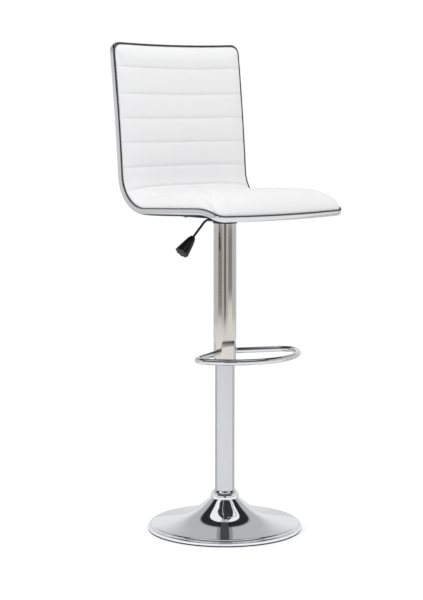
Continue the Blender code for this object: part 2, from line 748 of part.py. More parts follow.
def make_footrest(parts):
    """The closed loop of tube in front of the column, welded to the sliding tube by its two arms."""
    return [bent_tube("footrest_loop", footrest_path(), FOOTREST_TUBE_RADIUS, CHROME, parts, 3)]


# ---------------------------------------------------------------- seat mechanism


def make_mechanism(parts, cutters):
    """The lever housing, the seat plate with its screws, and the lever's pivot pin."""
    housing = box(
        "lever_housing", (HOUSING_LEVER_X, -HOUSING_HALF_Y, HOUSING_BOTTOM),
        (HOUSING_BACK_X, HOUSING_HALF_Y, HOUSING_TOP), BLACK_STEEL, parts,
    )
    wall = HOUSING_WALL
    cut(
        housing,
        cutter_box(
            "housing_hollow", (HOUSING_LEVER_X + wall, -HOUSING_HALF_Y + wall, HOUSING_FLOOR_TOP),
            (HOUSING_BACK_X - wall, HOUSING_HALF_Y - wall, HOUSING_TOP + wall), cutters,
        ),
    )
    slot = LEVER_RADIUS + 2 * RUNNING_GAP
    cut(
        housing,
        cutter_box(
            "housing_slot", (HOUSING_LEVER_X - wall, -slot, HOUSING_FLOOR_TOP + wall),
            (HOUSING_LEVER_X + 2 * wall, slot, HOUSING_TOP + wall), cutters,
        ),
    )
    cut(
        housing,
        cutter_rods(
            "housing_hole", [(0.0, 0.0, 0.0)], CYLINDER_RADIUS - CYLINDER_WALL,
            HOUSING_BOTTOM - wall, HOUSING_FLOOR_TOP + wall, cutters,
        ),
    )
    cut(
        housing,
        cutter_rods(
            "pin_hole", [(LEVER_PIVOT_X, 0.0, LEVER_HEIGHT)], LEVER_PIN_RADIUS + RUNNING_GAP,
            -HOUSING_HALF_Y - wall, HOUSING_HALF_Y + wall, cutters, axis="Y",
        ),
    )
    bm = bmesh.new()
    bmesh.ops.create_cone(
        bm, cap_ends=True, segments=12, radius1=LEVER_PIN_RADIUS, radius2=LEVER_PIN_RADIUS,
        depth=2 * HOUSING_HALF_Y - wall,
    )
    for vert in bm.verts:
        x, y, z = vert.co
        vert.co = Vector((LEVER_PIVOT_X + x, z, LEVER_HEIGHT - y))
    pin = mesh_object("lever_pin", bm, STEEL, parts, smooth=True)

    places = [(x, y, 0.0) for x in (-SCREW_X, SCREW_X) for y in (-SCREW_Y, SCREW_Y)]
    plate = box(
        "seat_plate", (-SEAT_PLATE_HALF_X, -SEAT_PLATE_HALF_Y, SEAT_PLATE_BOTTOM),
        (SEAT_PLATE_HALF_X, SEAT_PLATE_HALF_Y, SEAT_PLATE_TOP), BLACK_STEEL, parts, bevel=0.012,
    )
    hole = SCREW_RADIUS + SCREW_CLEARANCE
    screw_holes = cutter_rods(
        "screw_holes", places, hole, SEAT_PLATE_BOTTOM - wall, screw_top() + SCREW_CLEARANCE, cutters
    )
    cut(plate, screw_holes)
    pieces = [housing, pin, plate]
    for number, (x, y, _) in enumerate(places, 1):
        head_top = SEAT_PLATE_BOTTOM - GAP
        profile = [
            (0.0, screw_top()), (SCREW_RADIUS, screw_top()), (SCREW_RADIUS, head_top),
            (SCREW_HEAD_RADIUS, head_top), (SCREW_HEAD_RADIUS * 0.94, head_top - SCREW_HEAD_HEIGHT),
            (0.0, head_top - SCREW_HEAD_HEIGHT),
        ]
        screw = lathe(f"seat_screw_{number}", profile, STEEL, parts, 12, closed=False)
        screw.location = (x, y, 0.0)
        pieces.append(screw)
    return pieces, screw_holes


def screw_top():
    """How high the seat screws reach, which is into the shell and short of its upper face."""
    lowest = min(
        on_seat(0.0, place, SHELL_FRONT - SHELL_THICKNESS).z
        for place in (profile_place(-SCREW_Y), profile_place(SCREW_Y))
    )
    return lowest + SCREW_BITE


def profile_place(y):
    """The distance along the profile where the flat of the seat is at a given y."""
    _, first, _, start_y, _ = ARCS[1]
    return ARCS[0][0] + (y - start_y) / math.cos(first)


# ---------------------------------------------------------------- seat


def make_seat(parts, screw_holes):
    """The bent shell, its trim and gasket, the foam and covers, and the two rear covers."""
    shell_inset = TRIM_THICKNESS + TRIM_CLEARANCE
    pad_inset = shell_inset + 2 * GASKET_RADIUS + TRIM_CLEARANCE
    whole = rows_between(shell_inset, PROFILE_LENGTH - shell_inset, FRONT_CORNER, TOP_CORNER)
    shell_rear = SHELL_FRONT - SHELL_THICKNESS
    shell = seat_block(
        "seat_shell", whole, shell_inset, lambda share, along: shell_rear,
        lambda share, along: SHELL_FRONT, PLYWOOD, parts,
    )
    cut(shell, screw_holes)

    trim = trim_band(parts)
    gasket_inset = TRIM_THICKNESS + GAP + GASKET_RADIUS
    gasket = bent_tube(
        "trim_gasket", rim_loop(gasket_inset, GAP), GASKET_RADIUS, BLACK_RUBBER, parts, 1, cyclic=True
    )

    pad_bottom = SHELL_FRONT + GAP
    foam_inset = pad_inset + COVER_SHEET + GAP
    seat_places = rows_between(foam_inset, SEAM - GAP, FRONT_CORNER, 0.0)
    back_places = rows_between(SEAM + GAP, PROFILE_LENGTH - foam_inset, 0.0, TOP_CORNER)

    def foam_top(share, along):
        height = cushion_height(share, along, foam_inset, foam_inset, PROFILE_LENGTH - foam_inset)
        return max(height - COVER_SHEET - GAP, pad_bottom + 0.002)

    def flat_bottom(share, along):
        return pad_bottom

    foams = [
        seat_block("seat_foam", seat_places, foam_inset, flat_bottom, foam_top, FOAM, parts),
        seat_block("back_foam", back_places, foam_inset, flat_bottom, foam_top, FOAM, parts),
    ]
    covers = [
        cover_skin("seat_cover", seat_places, foam_inset, foam_top, pad_bottom, parts),
        cover_skin("back_cover", back_places, foam_inset, foam_top, pad_bottom, parts),
    ]
    return [shell, trim, gasket] + foams + covers + rear_covers(parts, shell_inset, screw_holes)


def cover_skin(name, places, foam_inset, foam_top, pad_bottom, parts):
    """The upholstery's skin: a sheet over the foam with a skirt down its outer sides."""
    ends = (places[0] < BEND_START, places[-1] > BEND_END)
    rows = [-1] * ends[0] + list(range(len(places))) + [len(places)] * ends[1]
    bm = bmesh.new()
    bmesh.ops.create_grid(bm, x_segments=COLUMNS + 2, y_segments=len(rows) - 1, size=1.0)
    for vert in bm.verts:
        column = round((vert.co.x + 1.0) / 2.0 * (COLUMNS + 2)) - 1
        row = rows[round((vert.co.y + 1.0) / 2.0 * (len(rows) - 1))]
        on_skirt = not 0 <= column <= COLUMNS or not 0 <= row < len(places)
        column = min(max(column, 0), COLUMNS)
        row = min(max(row, 0), len(places) - 1)
        share = math.sin((column / COLUMNS * 2.0 - 1.0) * math.pi / 2)
        along = places[row]
        across = share * (half_width(along, foam_inset) + GAP)
        if ends[0] and row == 0:
            along -= GAP
        if ends[1] and row == len(places) - 1:
            along += GAP
        height = pad_bottom if on_skirt else foam_top(share, places[row]) + GAP
        vert.co = on_seat(across, bowed(across, along), height)
    bmesh.ops.remove_doubles(bm, verts=bm.verts, dist=0.00001)
    bm.normal_update()
    skin = mesh_object(name, bm, WHITE_LEATHER, parts, smooth=True)
    thicken(skin, COVER_SHEET, 1.0)
    return skin


def trim_band(parts):
    """The polished band round the whole seat, a strip that is given its thickness inward."""
    front = rim_loop(0.0, TRIM_FRONT)
    rear = rim_loop(0.0, TRIM_FRONT - TRIM_DEPTH)
    bm = bmesh.new()
    verts = [bm.verts.new(point) for point in rear]
    edges = [bm.edges.new((a, b)) for a, b in zip(verts, verts[1:] + verts[:1])]
    made = bmesh.ops.extrude_edge_only(bm, edges=edges)
    lifted = [item for item in made["geom"] if isinstance(item, bmesh.types.BMVert)]
    for vert in lifted:
        source = next(e.other_vert(vert) for e in vert.link_edges if e.other_vert(vert) in verts)
        vert.co = front[verts.index(source)]
    bm.normal_update()
    bmesh.ops.recalc_face_normals(bm, faces=bm.faces)
    trim = mesh_object("trim_band", bm, CHROME, parts, smooth=True)
    outward = trim.data.polygons[0].normal.dot(trim.data.polygons[0].center - on_seat(0.0, BEND_START, 0.0))
    thicken(trim, TRIM_THICKNESS, -1.0 if outward > 0 else 1.0)
    return trim


def rear_covers(parts, shell_inset, screw_holes):
    """The black cover under the seat and the white cover behind the back."""
    top = SHELL_FRONT - SHELL_THICKNESS - GAP
    thin = top - COVER_BACK_DEPTH
    inset = shell_inset + GAP
    under_places = rows_between(inset, UNDER_END - GAP, FRONT_CORNER, 0.0)
    rear_places = rows_between(UNDER_END + GAP, PROFILE_LENGTH - inset, 0.0, TOP_CORNER)

    def flat_top(share, along):
        return top

    def bulging(bulge, start, end, lean=1.0):
        def height(share, along):
            way = min(max((along - start) / (end - start), 0.0), 1.0)
            middle = (1.0 - share**2) ** 0.5 * math.sin(math.pi * way**lean) ** 0.7
            return thin - bulge * middle

        return height

    land = SEAT_PLATE_TOP + GAP
    under = seat_block(
        "under_cover", under_places, inset, bulging(UNDER_BULGE, inset, UNDER_END, UNDER_LEAN), flat_top,
        BLACK_PLASTIC, parts, floor=land,
    )
    cut(under, screw_holes)
    rear = seat_block(
        "rear_cover", rear_places, inset, bulging(BACK_BULGE, UNDER_END, PROFILE_LENGTH), flat_top,
        WHITE_LEATHER, parts,
    )
    return [under, rear]


# ---------------------------------------------------------------- lever and button


def make_lever(parts, cutters):
    """The bent rod with its fluted grip. Both are placed from the pivot, which is their origin."""
    slant = math.radians(LEVER_DROP_DEG)
    inner = Vector((LEVER_INNER_X - LEVER_PIVOT_X, 0.0, 0.0))
    bend = Vector((LEVER_BEND_X - LEVER_PIVOT_X, 0.0, 0.0))
    down = Vector((-math.cos(slant), 0.0, -math.sin(slant)))
    rod_end = bend + down * LEVER_SLANT_LENGTH
    bend_radius = 0.008
    points = [inner, bend + Vector((bend_radius, 0.0, 0.0))]
    for i in range(1, 4):
        share = i / 4
        before = bend + Vector((bend_radius * (1 - share), 0.0, 0.0))
        after = bend + down * bend_radius * share
        points.append(before.lerp(after, share))
    points += [bend + down * bend_radius, rod_end]
    curve = bent_tube("lever_rod", points, LEVER_RADIUS, None, parts, 2)
    rod = as_mesh(curve, parts)
    dress(rod, BLACK_STEEL)
    hole = cutter_rods(
        "lever_hole", [(0.0, 0.0, 0.0)], LEVER_PIN_RADIUS + RUNNING_GAP,
        -2 * LEVER_RADIUS, 2 * LEVER_RADIUS, cutters, axis="Y",
    )
    cut(rod, hole)
    grip = make_grip(parts, rod_end + down * GAP, down)
    return [rod, grip], hole


def make_grip(parts, start, down):
    """The flared grip with lengthwise flutes and a rounded end, lofted from rings."""
    segments = 4 * GRIP_LOBES
    rings = ((0.0, 0.72), (0.05, 0.98), (0.14, 1.12), (0.35, 1.35), (0.75, 1.95), (0.92, 2.15), (1.0, 1.75))
    bm = bmesh.new()
    bmesh.ops.create_cone(bm, cap_ends=True, segments=segments, radius1=1.0, radius2=1.0, depth=1.0)
    side = [edge for edge in bm.edges if abs((edge.verts[0].co - edge.verts[1].co).z) > 0.5]
    bmesh.ops.subdivide_edges(bm, edges=side, cuts=len(rings) - 2, use_grid_fill=False)
    widest = max(radius for _, radius in rings)
    first = Vector((0.0, 1.0, 0.0))
    second = down.cross(first)
    for vert in bm.verts:
        level = round((0.5 - vert.co.z) * (len(rings) - 1))
        share, size = rings[level]
        around = math.atan2(vert.co.y, vert.co.x)
        growth = (size - rings[0][1]) / (widest - rings[0][1])
        radius = GRIP_ROOT_RADIUS + (GRIP_END_RADIUS - GRIP_ROOT_RADIUS) * growth
        radius -= GRIP_LOBE_DEPTH * share * (1.0 - math.cos(GRIP_LOBES * around)) / 2
        along = down * GRIP_LENGTH * share
        vert.co = start + along + (first * math.cos(around) + second * math.sin(around)) * radius
    bm.normal_update()
    bmesh.ops.recalc_face_normals(bm, faces=bm.faces)
    return mesh_object("lever_grip", bm, BLACK_PLASTIC, parts, smooth=True)


def make_button(parts):
    """The gas lift's release pin, which the lever's inner end presses down."""
    profile = [
        (0.0, BUTTON_TOP), (BUTTON_RADIUS * 0.8, BUTTON_TOP), (BUTTON_RADIUS, BUTTON_TOP - 0.0006),
        (BUTTON_RADIUS, BUTTON_TOP - BUTTON_LENGTH), (0.0, BUTTON_TOP - BUTTON_LENGTH),
    ]
    return lathe("valve_button", profile, STEEL, parts, 16, closed=False)


# ---------------------------------------------------------------- assembly


def add_axis(name, place, parent, collection):
    """An empty on a joint's axis, which the pieces that move there are children of."""
    axis = bpy.data.objects.new(name, None)
    axis.empty_display_size = 0.05
    axis.location = place
    axis.parent = parent
    collection.objects.link(axis)
    return axis


def main():
    """Builds the whole stool and hangs each moving piece on its axis."""
    clear_scene()
    parts = new_collection("adjustable_swivel_stool")
    cutters = new_collection("cutters")
    swivel = add_axis("swivel_axis", (0.0, 0.0, 0.0), None, parts)
    height = add_axis("height_axis", (0.0, 0.0, 0.0), swivel, parts)
    pivot = add_axis("lever_axis", (LEVER_PIVOT_X, 0.0, LEVER_HEIGHT), height, parts)

    make_base(parts)
    for piece in make_rod(parts):
        piece.parent = swivel
    mechanism, screw_holes = make_mechanism(parts, cutters)
    for piece in make_column(parts) + make_footrest(parts) + mechanism + make_seat(parts, screw_holes):
        piece.parent = height
    lever, lever_hole = make_lever(parts, cutters)
    for piece in lever + [lever_hole]:
        piece.parent = pivot
    make_button(parts).parent = height


main()
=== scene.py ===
"""Looks of an adjustable swivel stool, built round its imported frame.

Every size is in metres and +Z is up. The origin is on the column's axis at floor level, and the
sitter faces -Y. Places come from the frame's own boxes, and each finished piece rides on a body.
"""

import logging
import math
from collections.abc import Callable, Sequence
from dataclasses import dataclass, field
from enum import Enum

import bpy
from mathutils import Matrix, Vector


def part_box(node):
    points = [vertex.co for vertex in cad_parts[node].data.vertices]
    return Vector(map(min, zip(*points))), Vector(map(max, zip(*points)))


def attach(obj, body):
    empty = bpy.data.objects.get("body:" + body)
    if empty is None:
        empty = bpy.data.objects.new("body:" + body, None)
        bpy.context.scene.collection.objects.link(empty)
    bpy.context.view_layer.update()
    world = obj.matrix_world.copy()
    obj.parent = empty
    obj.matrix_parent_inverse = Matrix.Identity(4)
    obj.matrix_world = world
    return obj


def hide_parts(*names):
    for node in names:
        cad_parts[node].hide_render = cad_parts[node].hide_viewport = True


LOG = logging.getLogger("stool")
POLE = 0.00001  # radius of a ring that closes to a point
WELD = 0.000005  # distance under which doubled points are merged
SMOOTH_ANGLE = math.radians(38)
CRISP_ANGLE = math.radians(10)  # for long walls between small rounded edges
FOLD_ANGLE = math.radians(50)  # for fluted, rolled and folded faces
PAD_ANGLE = math.radians(60)
TUBE_WALL = 0.0015  # of both straight tubes of the column
TUBE_CORNER = 0.0004

Row = tuple[float, float]
Placer = Callable[[int, int, int], Vector]

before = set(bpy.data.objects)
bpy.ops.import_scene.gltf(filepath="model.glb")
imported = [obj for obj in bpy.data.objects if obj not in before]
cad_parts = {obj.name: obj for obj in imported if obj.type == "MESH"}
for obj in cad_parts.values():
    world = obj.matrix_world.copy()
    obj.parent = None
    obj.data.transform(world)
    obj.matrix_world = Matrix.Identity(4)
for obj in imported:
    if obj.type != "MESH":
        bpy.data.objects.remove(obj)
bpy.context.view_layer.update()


class Body(Enum):
    """The bodies of the frame that the new pieces ride on."""

    BASE = "base"
    SEAT = "seat"
    LEVER = "lever"


class Slot(Enum):
    """The record's material slots that show."""

    CHROME = "chrome"
    STEEL = "steel"
    BLACK_STEEL = "black_steel"
    BLACK_RUBBER = "black_rubber"
    BLACK_PLASTIC = "black_plastic"
    WHITE_LEATHER = "white_leather"
    PLYWOOD = "plywood"


# ---------------------------------------------------------------- shader building


class Value:
    """A number that changes over a surface. Arithmetic on it adds Math nodes."""

    def __init__(self, surface: "Surface", socket: bpy.types.NodeSocket) -> None:
        """Wraps one output socket of a surface's node tree."""
        self.surface = surface
        self.socket = socket

    def _math(self, operation: str, first: object, second: object) -> "Value":
        """Adds one Math node.

        Args:
            operation: The node's operation.
            first: Its first number or Value.
            second: Its second number or Value.

        Returns:
            The node's result.
        """
        made = self.surface.node("ShaderNodeMath", {"operation": operation}, {0: first, 1: second})
        return Value(self.surface, made.outputs[0])

    def __add__(self, other: object) -> "Value":
        """Adds a number or Value."""
        return self._math("ADD", self, other)

    __radd__ = __add__

    def __mul__(self, other: object) -> "Value":
        """Multiplies by a number or Value."""
        return self._math("MULTIPLY", self, other)

    __rmul__ = __mul__


class Surface:
    """One node material, built up round its Principled shader."""

    def __init__(self, name: str) -> None:
        """Makes an empty material of that name."""
        self.material = bpy.data.materials.new(name)
        self.material.use_nodes = True
        self.tree = self.material.node_tree
        self.shader = self.tree.nodes["Principled BSDF"]

    def node(self, kind: str, settings: dict | None = None, inputs: dict | None = None) -> bpy.types.Node:
        """Adds a node.

        Args:
            kind: The node's type.
            settings: Its properties, set before its sockets are filled.
            inputs: Values, sockets or Values for its input sockets, by name or index.

        Returns:
            The new node.
        """
        made = self.tree.nodes.new(kind)
        for name, value in (settings or {}).items():
            setattr(made, name, value)
        for name, value in (inputs or {}).items():
            self.feed(made.inputs[name], value)
        return made

    def feed(self, socket: bpy.types.NodeSocket, value: object) -> None:
        """Links a Value or a socket into an input, or sets the input to a constant."""
        if isinstance(value, Value):
            value = value.socket
        if isinstance(value, bpy.types.NodeSocket):
            self.tree.links.new(value, socket)
        else:
            socket.default_value = value

    def fixed(self, **values: object) -> None:
        """Sets constants on the shader, with underscores for the spaces in the sockets' names."""
        for name, value in values.items():
            self.shader.inputs[name.replace("_", " ")].default_value = value

    def place(self, stretch: Sequence[float] = (1.0, 1.0, 1.0)) -> bpy.types.NodeSocket:
        """The point on the object, with each axis stretched by a factor."""
        point = self.node("ShaderNodeTexCoord").outputs["Object"]
        return self.node("ShaderNodeMapping", None, {"Vector": point, "Scale": stretch}).outputs[0]

    def noise(
        self, scale: float, detail: float = 2.0, stretch: Sequence[float] = (1.0, 1.0, 1.0)
    ) -> Value:
        """Soft noise from 0 to 1.

        Args:
            scale: Waves in a metre.
            detail: How many finer octaves it has.
            stretch: A factor for each axis.

        Returns:
            The noise.
        """
        inputs = {"Vector": self.place(stretch), "Scale": scale, "Detail": detail, "Roughness": 0.55}
        return Value(self, self.node("ShaderNodeTexNoise", None, inputs).outputs[0])

    def cells(self, scale: float) -> Value:
        """The distance to the nearest of scattered points, as on grained leather."""
        inputs = {"Vector": self.place(), "Scale": scale}
        return Value(self, self.node("ShaderNodeTexVoronoi", None, inputs).outputs["Distance"])

    def tint(self, mask: Value, low: Sequence[float], high: Sequence[float]) -> None:
        """Feeds Base Color with a mix of two colours by a mask."""
        mixed = self.node(
            "ShaderNodeMix", {"data_type": "RGBA"}, {0: mask, 6: (*low, 1.0), 7: (*high, 1.0)}
        )
        self.feed(self.shader.inputs["Base Color"], mixed.outputs[2])

    def vary(self, socket: str, value: Value) -> None:
        """Feeds one of the shader's inputs with a Value."""
        self.feed(self.shader.inputs[socket], value)

    def bump(self, height: Value, depth: float) -> None:
        """Adds relief of a depth in metres, which only turns the shading normal."""
        made = self.node("ShaderNodeBump", None, {"Height": height, "Distance": depth, "Strength": 1.0})
        self.feed(self.shader.inputs["Normal"], made.outputs[0])


@dataclass(frozen=True)
class Finish:
    """A finish: what it is called, the slot it belongs to, and its colours and gloss."""

    name: str
    slot: Slot
    color: tuple[float, float, float]
    shade: tuple[float, float, float]
    roughness: float
    metallic: float = 0.0

    def surface(self) -> Surface:
        """Starts the material with what stays the same all over it."""
        surface = Surface(self.name)
        surface.fixed(Metallic=self.metallic, Roughness=self.roughness)
        return surface

    def material(self) -> bpy.types.Material:
        """The finish as a material. Kinds of finish add their own detail to the surface."""
        surface = self.surface()
        mottle = surface.noise(60.0, 3.0)
        surface.tint(mottle, self.shade, self.color)
        surface.vary("Roughness", mottle * 0.1 + (self.roughness - 0.05))
        return surface.material


@dataclass(frozen=True)
class PolishedChrome(Finish):
    """Mirror chrome with a trace of smudging, and a plating that is not perfectly flat."""

    metallic: float = 1.0
    smudge: float = 0.05
    wave: float = 0.00002

    def material(self) -> bpy.types.Material:
        """Chrome with soft smudges and faint long waves."""
        surface = self.surface()
        smudges = surface.noise(34.0, 4.0)
        surface.tint(smudges, self.shade, self.color)
        surface.vary("Roughness", smudges * self.smudge + self.roughness)
        surface.bump(surface.noise(22.0, 1.0, (1.0, 1.0, 0.35)), self.wave)
        return surface.material


@dataclass(frozen=True)
class FauxLeather(Finish):
    """Coated upholstery fabric with a fine pebble grain."""

    grain: float = 780.0
    depth: float = 0.00007

    def material(self) -> bpy.types.Material:
        """Leathercloth: pebbles, finer creases and a slow change of tone."""
        surface = self.surface()
        pebbles = surface.cells(self.grain)
        creases = surface.noise(self.grain * 0.55, 4.0)
        tone = surface.noise(9.0, 2.0)
        surface.tint(tone * 0.6 + pebbles * 0.4, self.shade, self.color)
        surface.vary("Roughness", creases * 0.12 + (self.roughness - 0.05))
        surface.bump(pebbles * 0.6 + creases * 0.5, self.depth)
        surface.fixed(Specular_IOR_Level=0.42)
        return surface.material


@dataclass(frozen=True)
class Moulded(Finish):
    """Moulded plastic or rubber with a fine spark-eroded grain."""

    grain: float = 900.0
    depth: float = 0.00004

    def material(self) -> bpy.types.Material:
        """Moulding grain over a slightly uneven gloss."""
        surface = self.surface()
        speckle = surface.noise(self.grain, 3.0)
        gloss = surface.noise(45.0, 2.0)
        surface.tint(gloss, self.shade, self.color)
        surface.vary("Roughness", gloss * 0.14 + (self.roughness - 0.07))
        surface.bump(speckle, self.depth)
        return surface.material


@dataclass(frozen=True)
class Brushed(Finish):
    """Drawn or turned steel with fine lines along one axis."""

    stretch: tuple[float, float, float] = (1.0, 1.0, 14.0)

    def material(self) -> bpy.types.Material:
        """Steel with fine lines in its colour, gloss and relief."""
        surface = self.surface()
        lines = surface.noise(260.0, 3.0, self.stretch)
        surface.tint(lines, self.shade, self.color)
        surface.vary("Roughness", lines * 0.2 + (self.roughness - 0.1))
        surface.bump(lines, 0.00002)
        return surface.material


@dataclass(frozen=True)
class Timber(Finish):
    """Plywood with long grain across the seat."""

    def material(self) -> bpy.types.Material:
        """Veneer: long streaks with finer pores in them."""
        surface = self.surface()
        streaks = surface.noise(26.0, 5.0, (1.0, 9.0, 9.0))
        surface.tint(streaks, self.shade, self.color)
        surface.bump(streaks, 0.0001)
        return surface.material


CHROME = PolishedChrome("polished_chrome", Slot.CHROME, (0.66, 0.665, 0.68), (0.62, 0.625, 0.64), 0.035)
# Painted reflection: a lighter copy of the chrome for the base shell and collar, standing in for the
# brighter things they mirror.
LIGHTER_PAINTED_BASE_CHROME = PolishedChrome("base_chrome_painted_lighter", Slot.CHROME, (0.85, 0.857, 0.88), (0.81, 0.817, 0.84), 0.03)
# Painted reflection: a warmer copy of the chrome for the sliding tube, standing in for the warm grey that
# it mirrors.
WARM_PAINTED_OUTER_CHROME = PolishedChrome(
    "outer_tube_chrome_painted_warm", Slot.CHROME, (0.665, 0.635, 0.60), (0.625, 0.595, 0.56), 0.05
)
# Painted reflection: a darker, bluer copy of the chrome for the guard tube, standing in for the darker
# surroundings that it mirrors.
DARKER_PAINTED_INNER_CHROME = PolishedChrome(
    "inner_tube_chrome_painted_darker", Slot.CHROME, (0.58, 0.583, 0.61), (0.54, 0.543, 0.57), 0.05
)
STEEL = Brushed("drawn_steel", Slot.STEEL, (0.47, 0.48, 0.49), (0.40, 0.41, 0.42), 0.34, metallic=0.9)
BLACK_STEEL = Moulded(
    "black_powder_coat", Slot.BLACK_STEEL, (0.022, 0.022, 0.024), (0.015, 0.015, 0.016), 0.42,
    grain=420.0, depth=0.00008,
)
BLACK_RUBBER = Moulded(
    "black_rubber", Slot.BLACK_RUBBER, (0.026, 0.025, 0.025), (0.018, 0.017, 0.017), 0.72
)
# Painted reflection: dark rubber for the ring along the seat trim, which stands in for the dark
# reflection in the trim's lip.
DARK_REFLECTION_RUBBER = Moulded(
    "rim_gasket", Slot.BLACK_RUBBER, (0.045, 0.042, 0.040), (0.030, 0.028, 0.027), 0.40
)
BLACK_PLASTIC = Moulded(
    "black_plastic", Slot.BLACK_PLASTIC, (0.013, 0.012, 0.012), (0.008, 0.008, 0.008), 0.44
)
GRIP_PLASTIC = Moulded(
    "grip_plastic", Slot.BLACK_PLASTIC, (0.009, 0.008, 0.008), (0.006, 0.006, 0.006), 0.55
)
BLACK_LINING = Moulded(
    "black_lining", Slot.BLACK_PLASTIC, (0.016, 0.016, 0.017), (0.010, 0.010, 0.011), 0.75,
    grain=1500.0, depth=0.0001,
)
LEATHER = FauxLeather(
    "white_leathercloth", Slot.WHITE_LEATHER, (0.755, 0.755, 0.76), (0.73, 0.73, 0.74), 0.50
)
PLYWOOD = Timber("birch_plywood", Slot.PLYWOOD, (0.66, 0.49, 0.31), (0.52, 0.36, 0.21), 0.6)

_materials: dict[str, bpy.types.Material] = {}


def finish_of(finish: Finish) -> bpy.types.Material:
    """The material of a finish, made the first time it is asked for."""
    if finish.name not in _materials:
        _materials[finish.name] = finish.material()
    return _materials[finish.name]


def hand_over(obj: bpy.types.Object, body: Body, finish: Finish, *replaced: str) -> bpy.types.Object:
    """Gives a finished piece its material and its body.

    Args:
        obj: The piece, with its place in its mesh.
        body: The body that it rides on.
        finish: Its finish.
        replaced: The frame's nodes that it stands for.

    Returns:
        The same piece.
    """
    obj.data.materials.clear()
    obj.data.materials.append(finish_of(finish))
    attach(obj, body.value)
    if replaced:
        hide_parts(*replaced)
    LOG.info("%s: %d faces, rides on %s", obj.name, len(obj.data.polygons), body.value)
    return obj


# ---------------------------------------------------------------- modelling by hand


def put_down() -> None:
    """Leaves edit mode and deselects everything."""
    if bpy.context.mode != "OBJECT":
        bpy.ops.object.mode_set(mode="OBJECT")
    bpy.ops.object.select_all(action="DESELECT")


def take_up(name: str) -> bpy.types.Object:
    """Names the primitive that was just added and opens it in edit mode with everything selected."""
    obj = bpy.context.active_object
    obj.name = name
    obj.data.name = name
    bpy.ops.object.transform_apply(location=True, rotation=True, scale=True)
    bpy.ops.object.mode_set(mode="EDIT")
    bpy.ops.mesh.select_all(action="SELECT")
    return obj


def close_up(obj: bpy.types.Object, angle: float = SMOOTH_ANGLE) -> bpy.types.Object:
    """Merges doubled points, turns the faces outwards and smooths what is not a sharp edge.

    Args:
        obj: The piece, in edit mode or not.
        angle: Edges sharper than this stay sharp.

    Returns:
        The same piece, in object mode.
    """
    if bpy.context.mode != "EDIT_MESH":
        bpy.context.view_layer.objects.active = obj
        obj.select_set(True)
        bpy.ops.object.mode_set(mode="EDIT")
    bpy.ops.mesh.select_all(action="SELECT")
    bpy.ops.mesh.remove_doubles(threshold=WELD)
    bpy.ops.mesh.normals_make_consistent(inside=False)
    bpy.ops.object.mode_set(mode="OBJECT")
    bpy.ops.object.shade_smooth_by_angle(angle=angle)
    return obj


def apply_all(obj: bpy.types.Object) -> None:
    """Applies every modifier of a piece in turn."""
    put_down()
    bpy.context.view_layer.objects.active = obj
    obj.select_set(True)
    for modifier in list(obj.modifiers):
        bpy.ops.object.modifier_apply(modifier=modifier.name)


def unit(value: float) -> float:
    """A value kept between 0 and 1."""
    return min(max(value, 0.0), 1.0)


def turned(
    name: str, profile: Sequence[Row], steps: int = 112, angle: float = SMOOTH_ANGLE
) -> bpy.types.Object:
    """Turns a piece on the Z axis: a circle extruded from row to row and resized at each.

    Args:
        name: The piece's name.
        profile: Rows of (radius, height). A closed wall ends on its first row.
        steps: Points in the circle.
        angle: Edges sharper than this stay sharp.

    Returns:
        The turned piece.
    """
    put_down()
    radius, height = profile[0]
    bpy.ops.mesh.primitive_circle_add(
        vertices=steps, radius=max(radius, POLE), location=(0.0, 0.0, height)
    )
    obj = take_up(name)
    for (old, low), (new, high) in zip(profile, profile[1:]):
        bpy.ops.mesh.extrude_edges_move(TRANSFORM_OT_translate={"value": (0.0, 0.0, high - low)})
        share = max(new, POLE) / max(old, POLE)
        bpy.ops.transform.resize(value=(share, share, 1.0), center_override=(0.0, 0.0, high))
    return close_up(obj, angle)


def quarter(radius: float, height: float, size: float, start: float, end: float, steps: int) -> list[Row]:
    """Rows of a profile's rounded corner.

    Args:
        radius: The corner's middle, from the axis.
        height: The corner's middle, from the floor.
        size: The corner's own radius.
        start: Angle of its first row, in degrees from outward.
        end: Angle of its last row.
        steps: How many steps it takes.

    Returns:
        The rows.
    """
    angles = [math.radians(start + (end - start) * i / steps) for i in range(steps + 1)]
    return [(radius + size * math.cos(a), height + size * math.sin(a)) for a in angles]


def round_ring(inner: float, outer: float, bottom: float, top: float, corner: float) -> list[Row]:
    """A closed profile of a ring or tube whose four edges are rounded."""
    rows = []
    for radius, height, start in (
        (outer - corner, top - corner, 90.0),
        (outer - corner, bottom + corner, 0.0),
        (inner + corner, bottom + corner, -90.0),
        (inner + corner, top - corner, 180.0),
    ):
        rows += quarter(radius, height, corner, start, start - 90.0, 3)
    return rows + rows[:1]


def straight_tube(name: str, node: str, body: Body, finish: Finish) -> None:
    """Builds and dresses one of the column's straight tubes, in the place of a node."""
    low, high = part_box(node)
    profile = round_ring(high.x - TUBE_WALL, high.x, low.z, high.z, TUBE_CORNER)
    hand_over(turned(name, profile, angle=CRISP_ANGLE), body, finish, node)


def piped(
    name: str, points: Sequence[Vector], radius: float, sides: int, loop: bool = False
) -> bpy.types.Object:
    """Runs a round tube, bead or rod along points.

    Args:
        name: The piece's name.
        points: The points of its centreline.
        radius: Its radius.
        sides: Steps in each quarter of its section.
        loop: Whether it closes on itself.

    Returns:
        The tube as a mesh.
    """
    put_down()
    curve = bpy.data.curves.new(name, "CURVE")
    curve.dimensions = "3D"
    curve.bevel_depth = radius
    curve.bevel_resolution = sides
    curve.use_fill_caps = not loop
    spline = curve.splines.new("POLY")
    spline.points.add(len(points) - 1)
    for place, point in zip(spline.points, points):
        place.co = (*point, 1.0)
    spline.use_cyclic_u = loop
    obj = bpy.data.objects.new(name, curve)
    bpy.context.scene.collection.objects.link(obj)
    obj.select_set(True)
    bpy.context.view_layer.objects.active = obj
    bpy.ops.object.convert(target="MESH")
    return close_up(bpy.context.active_object)


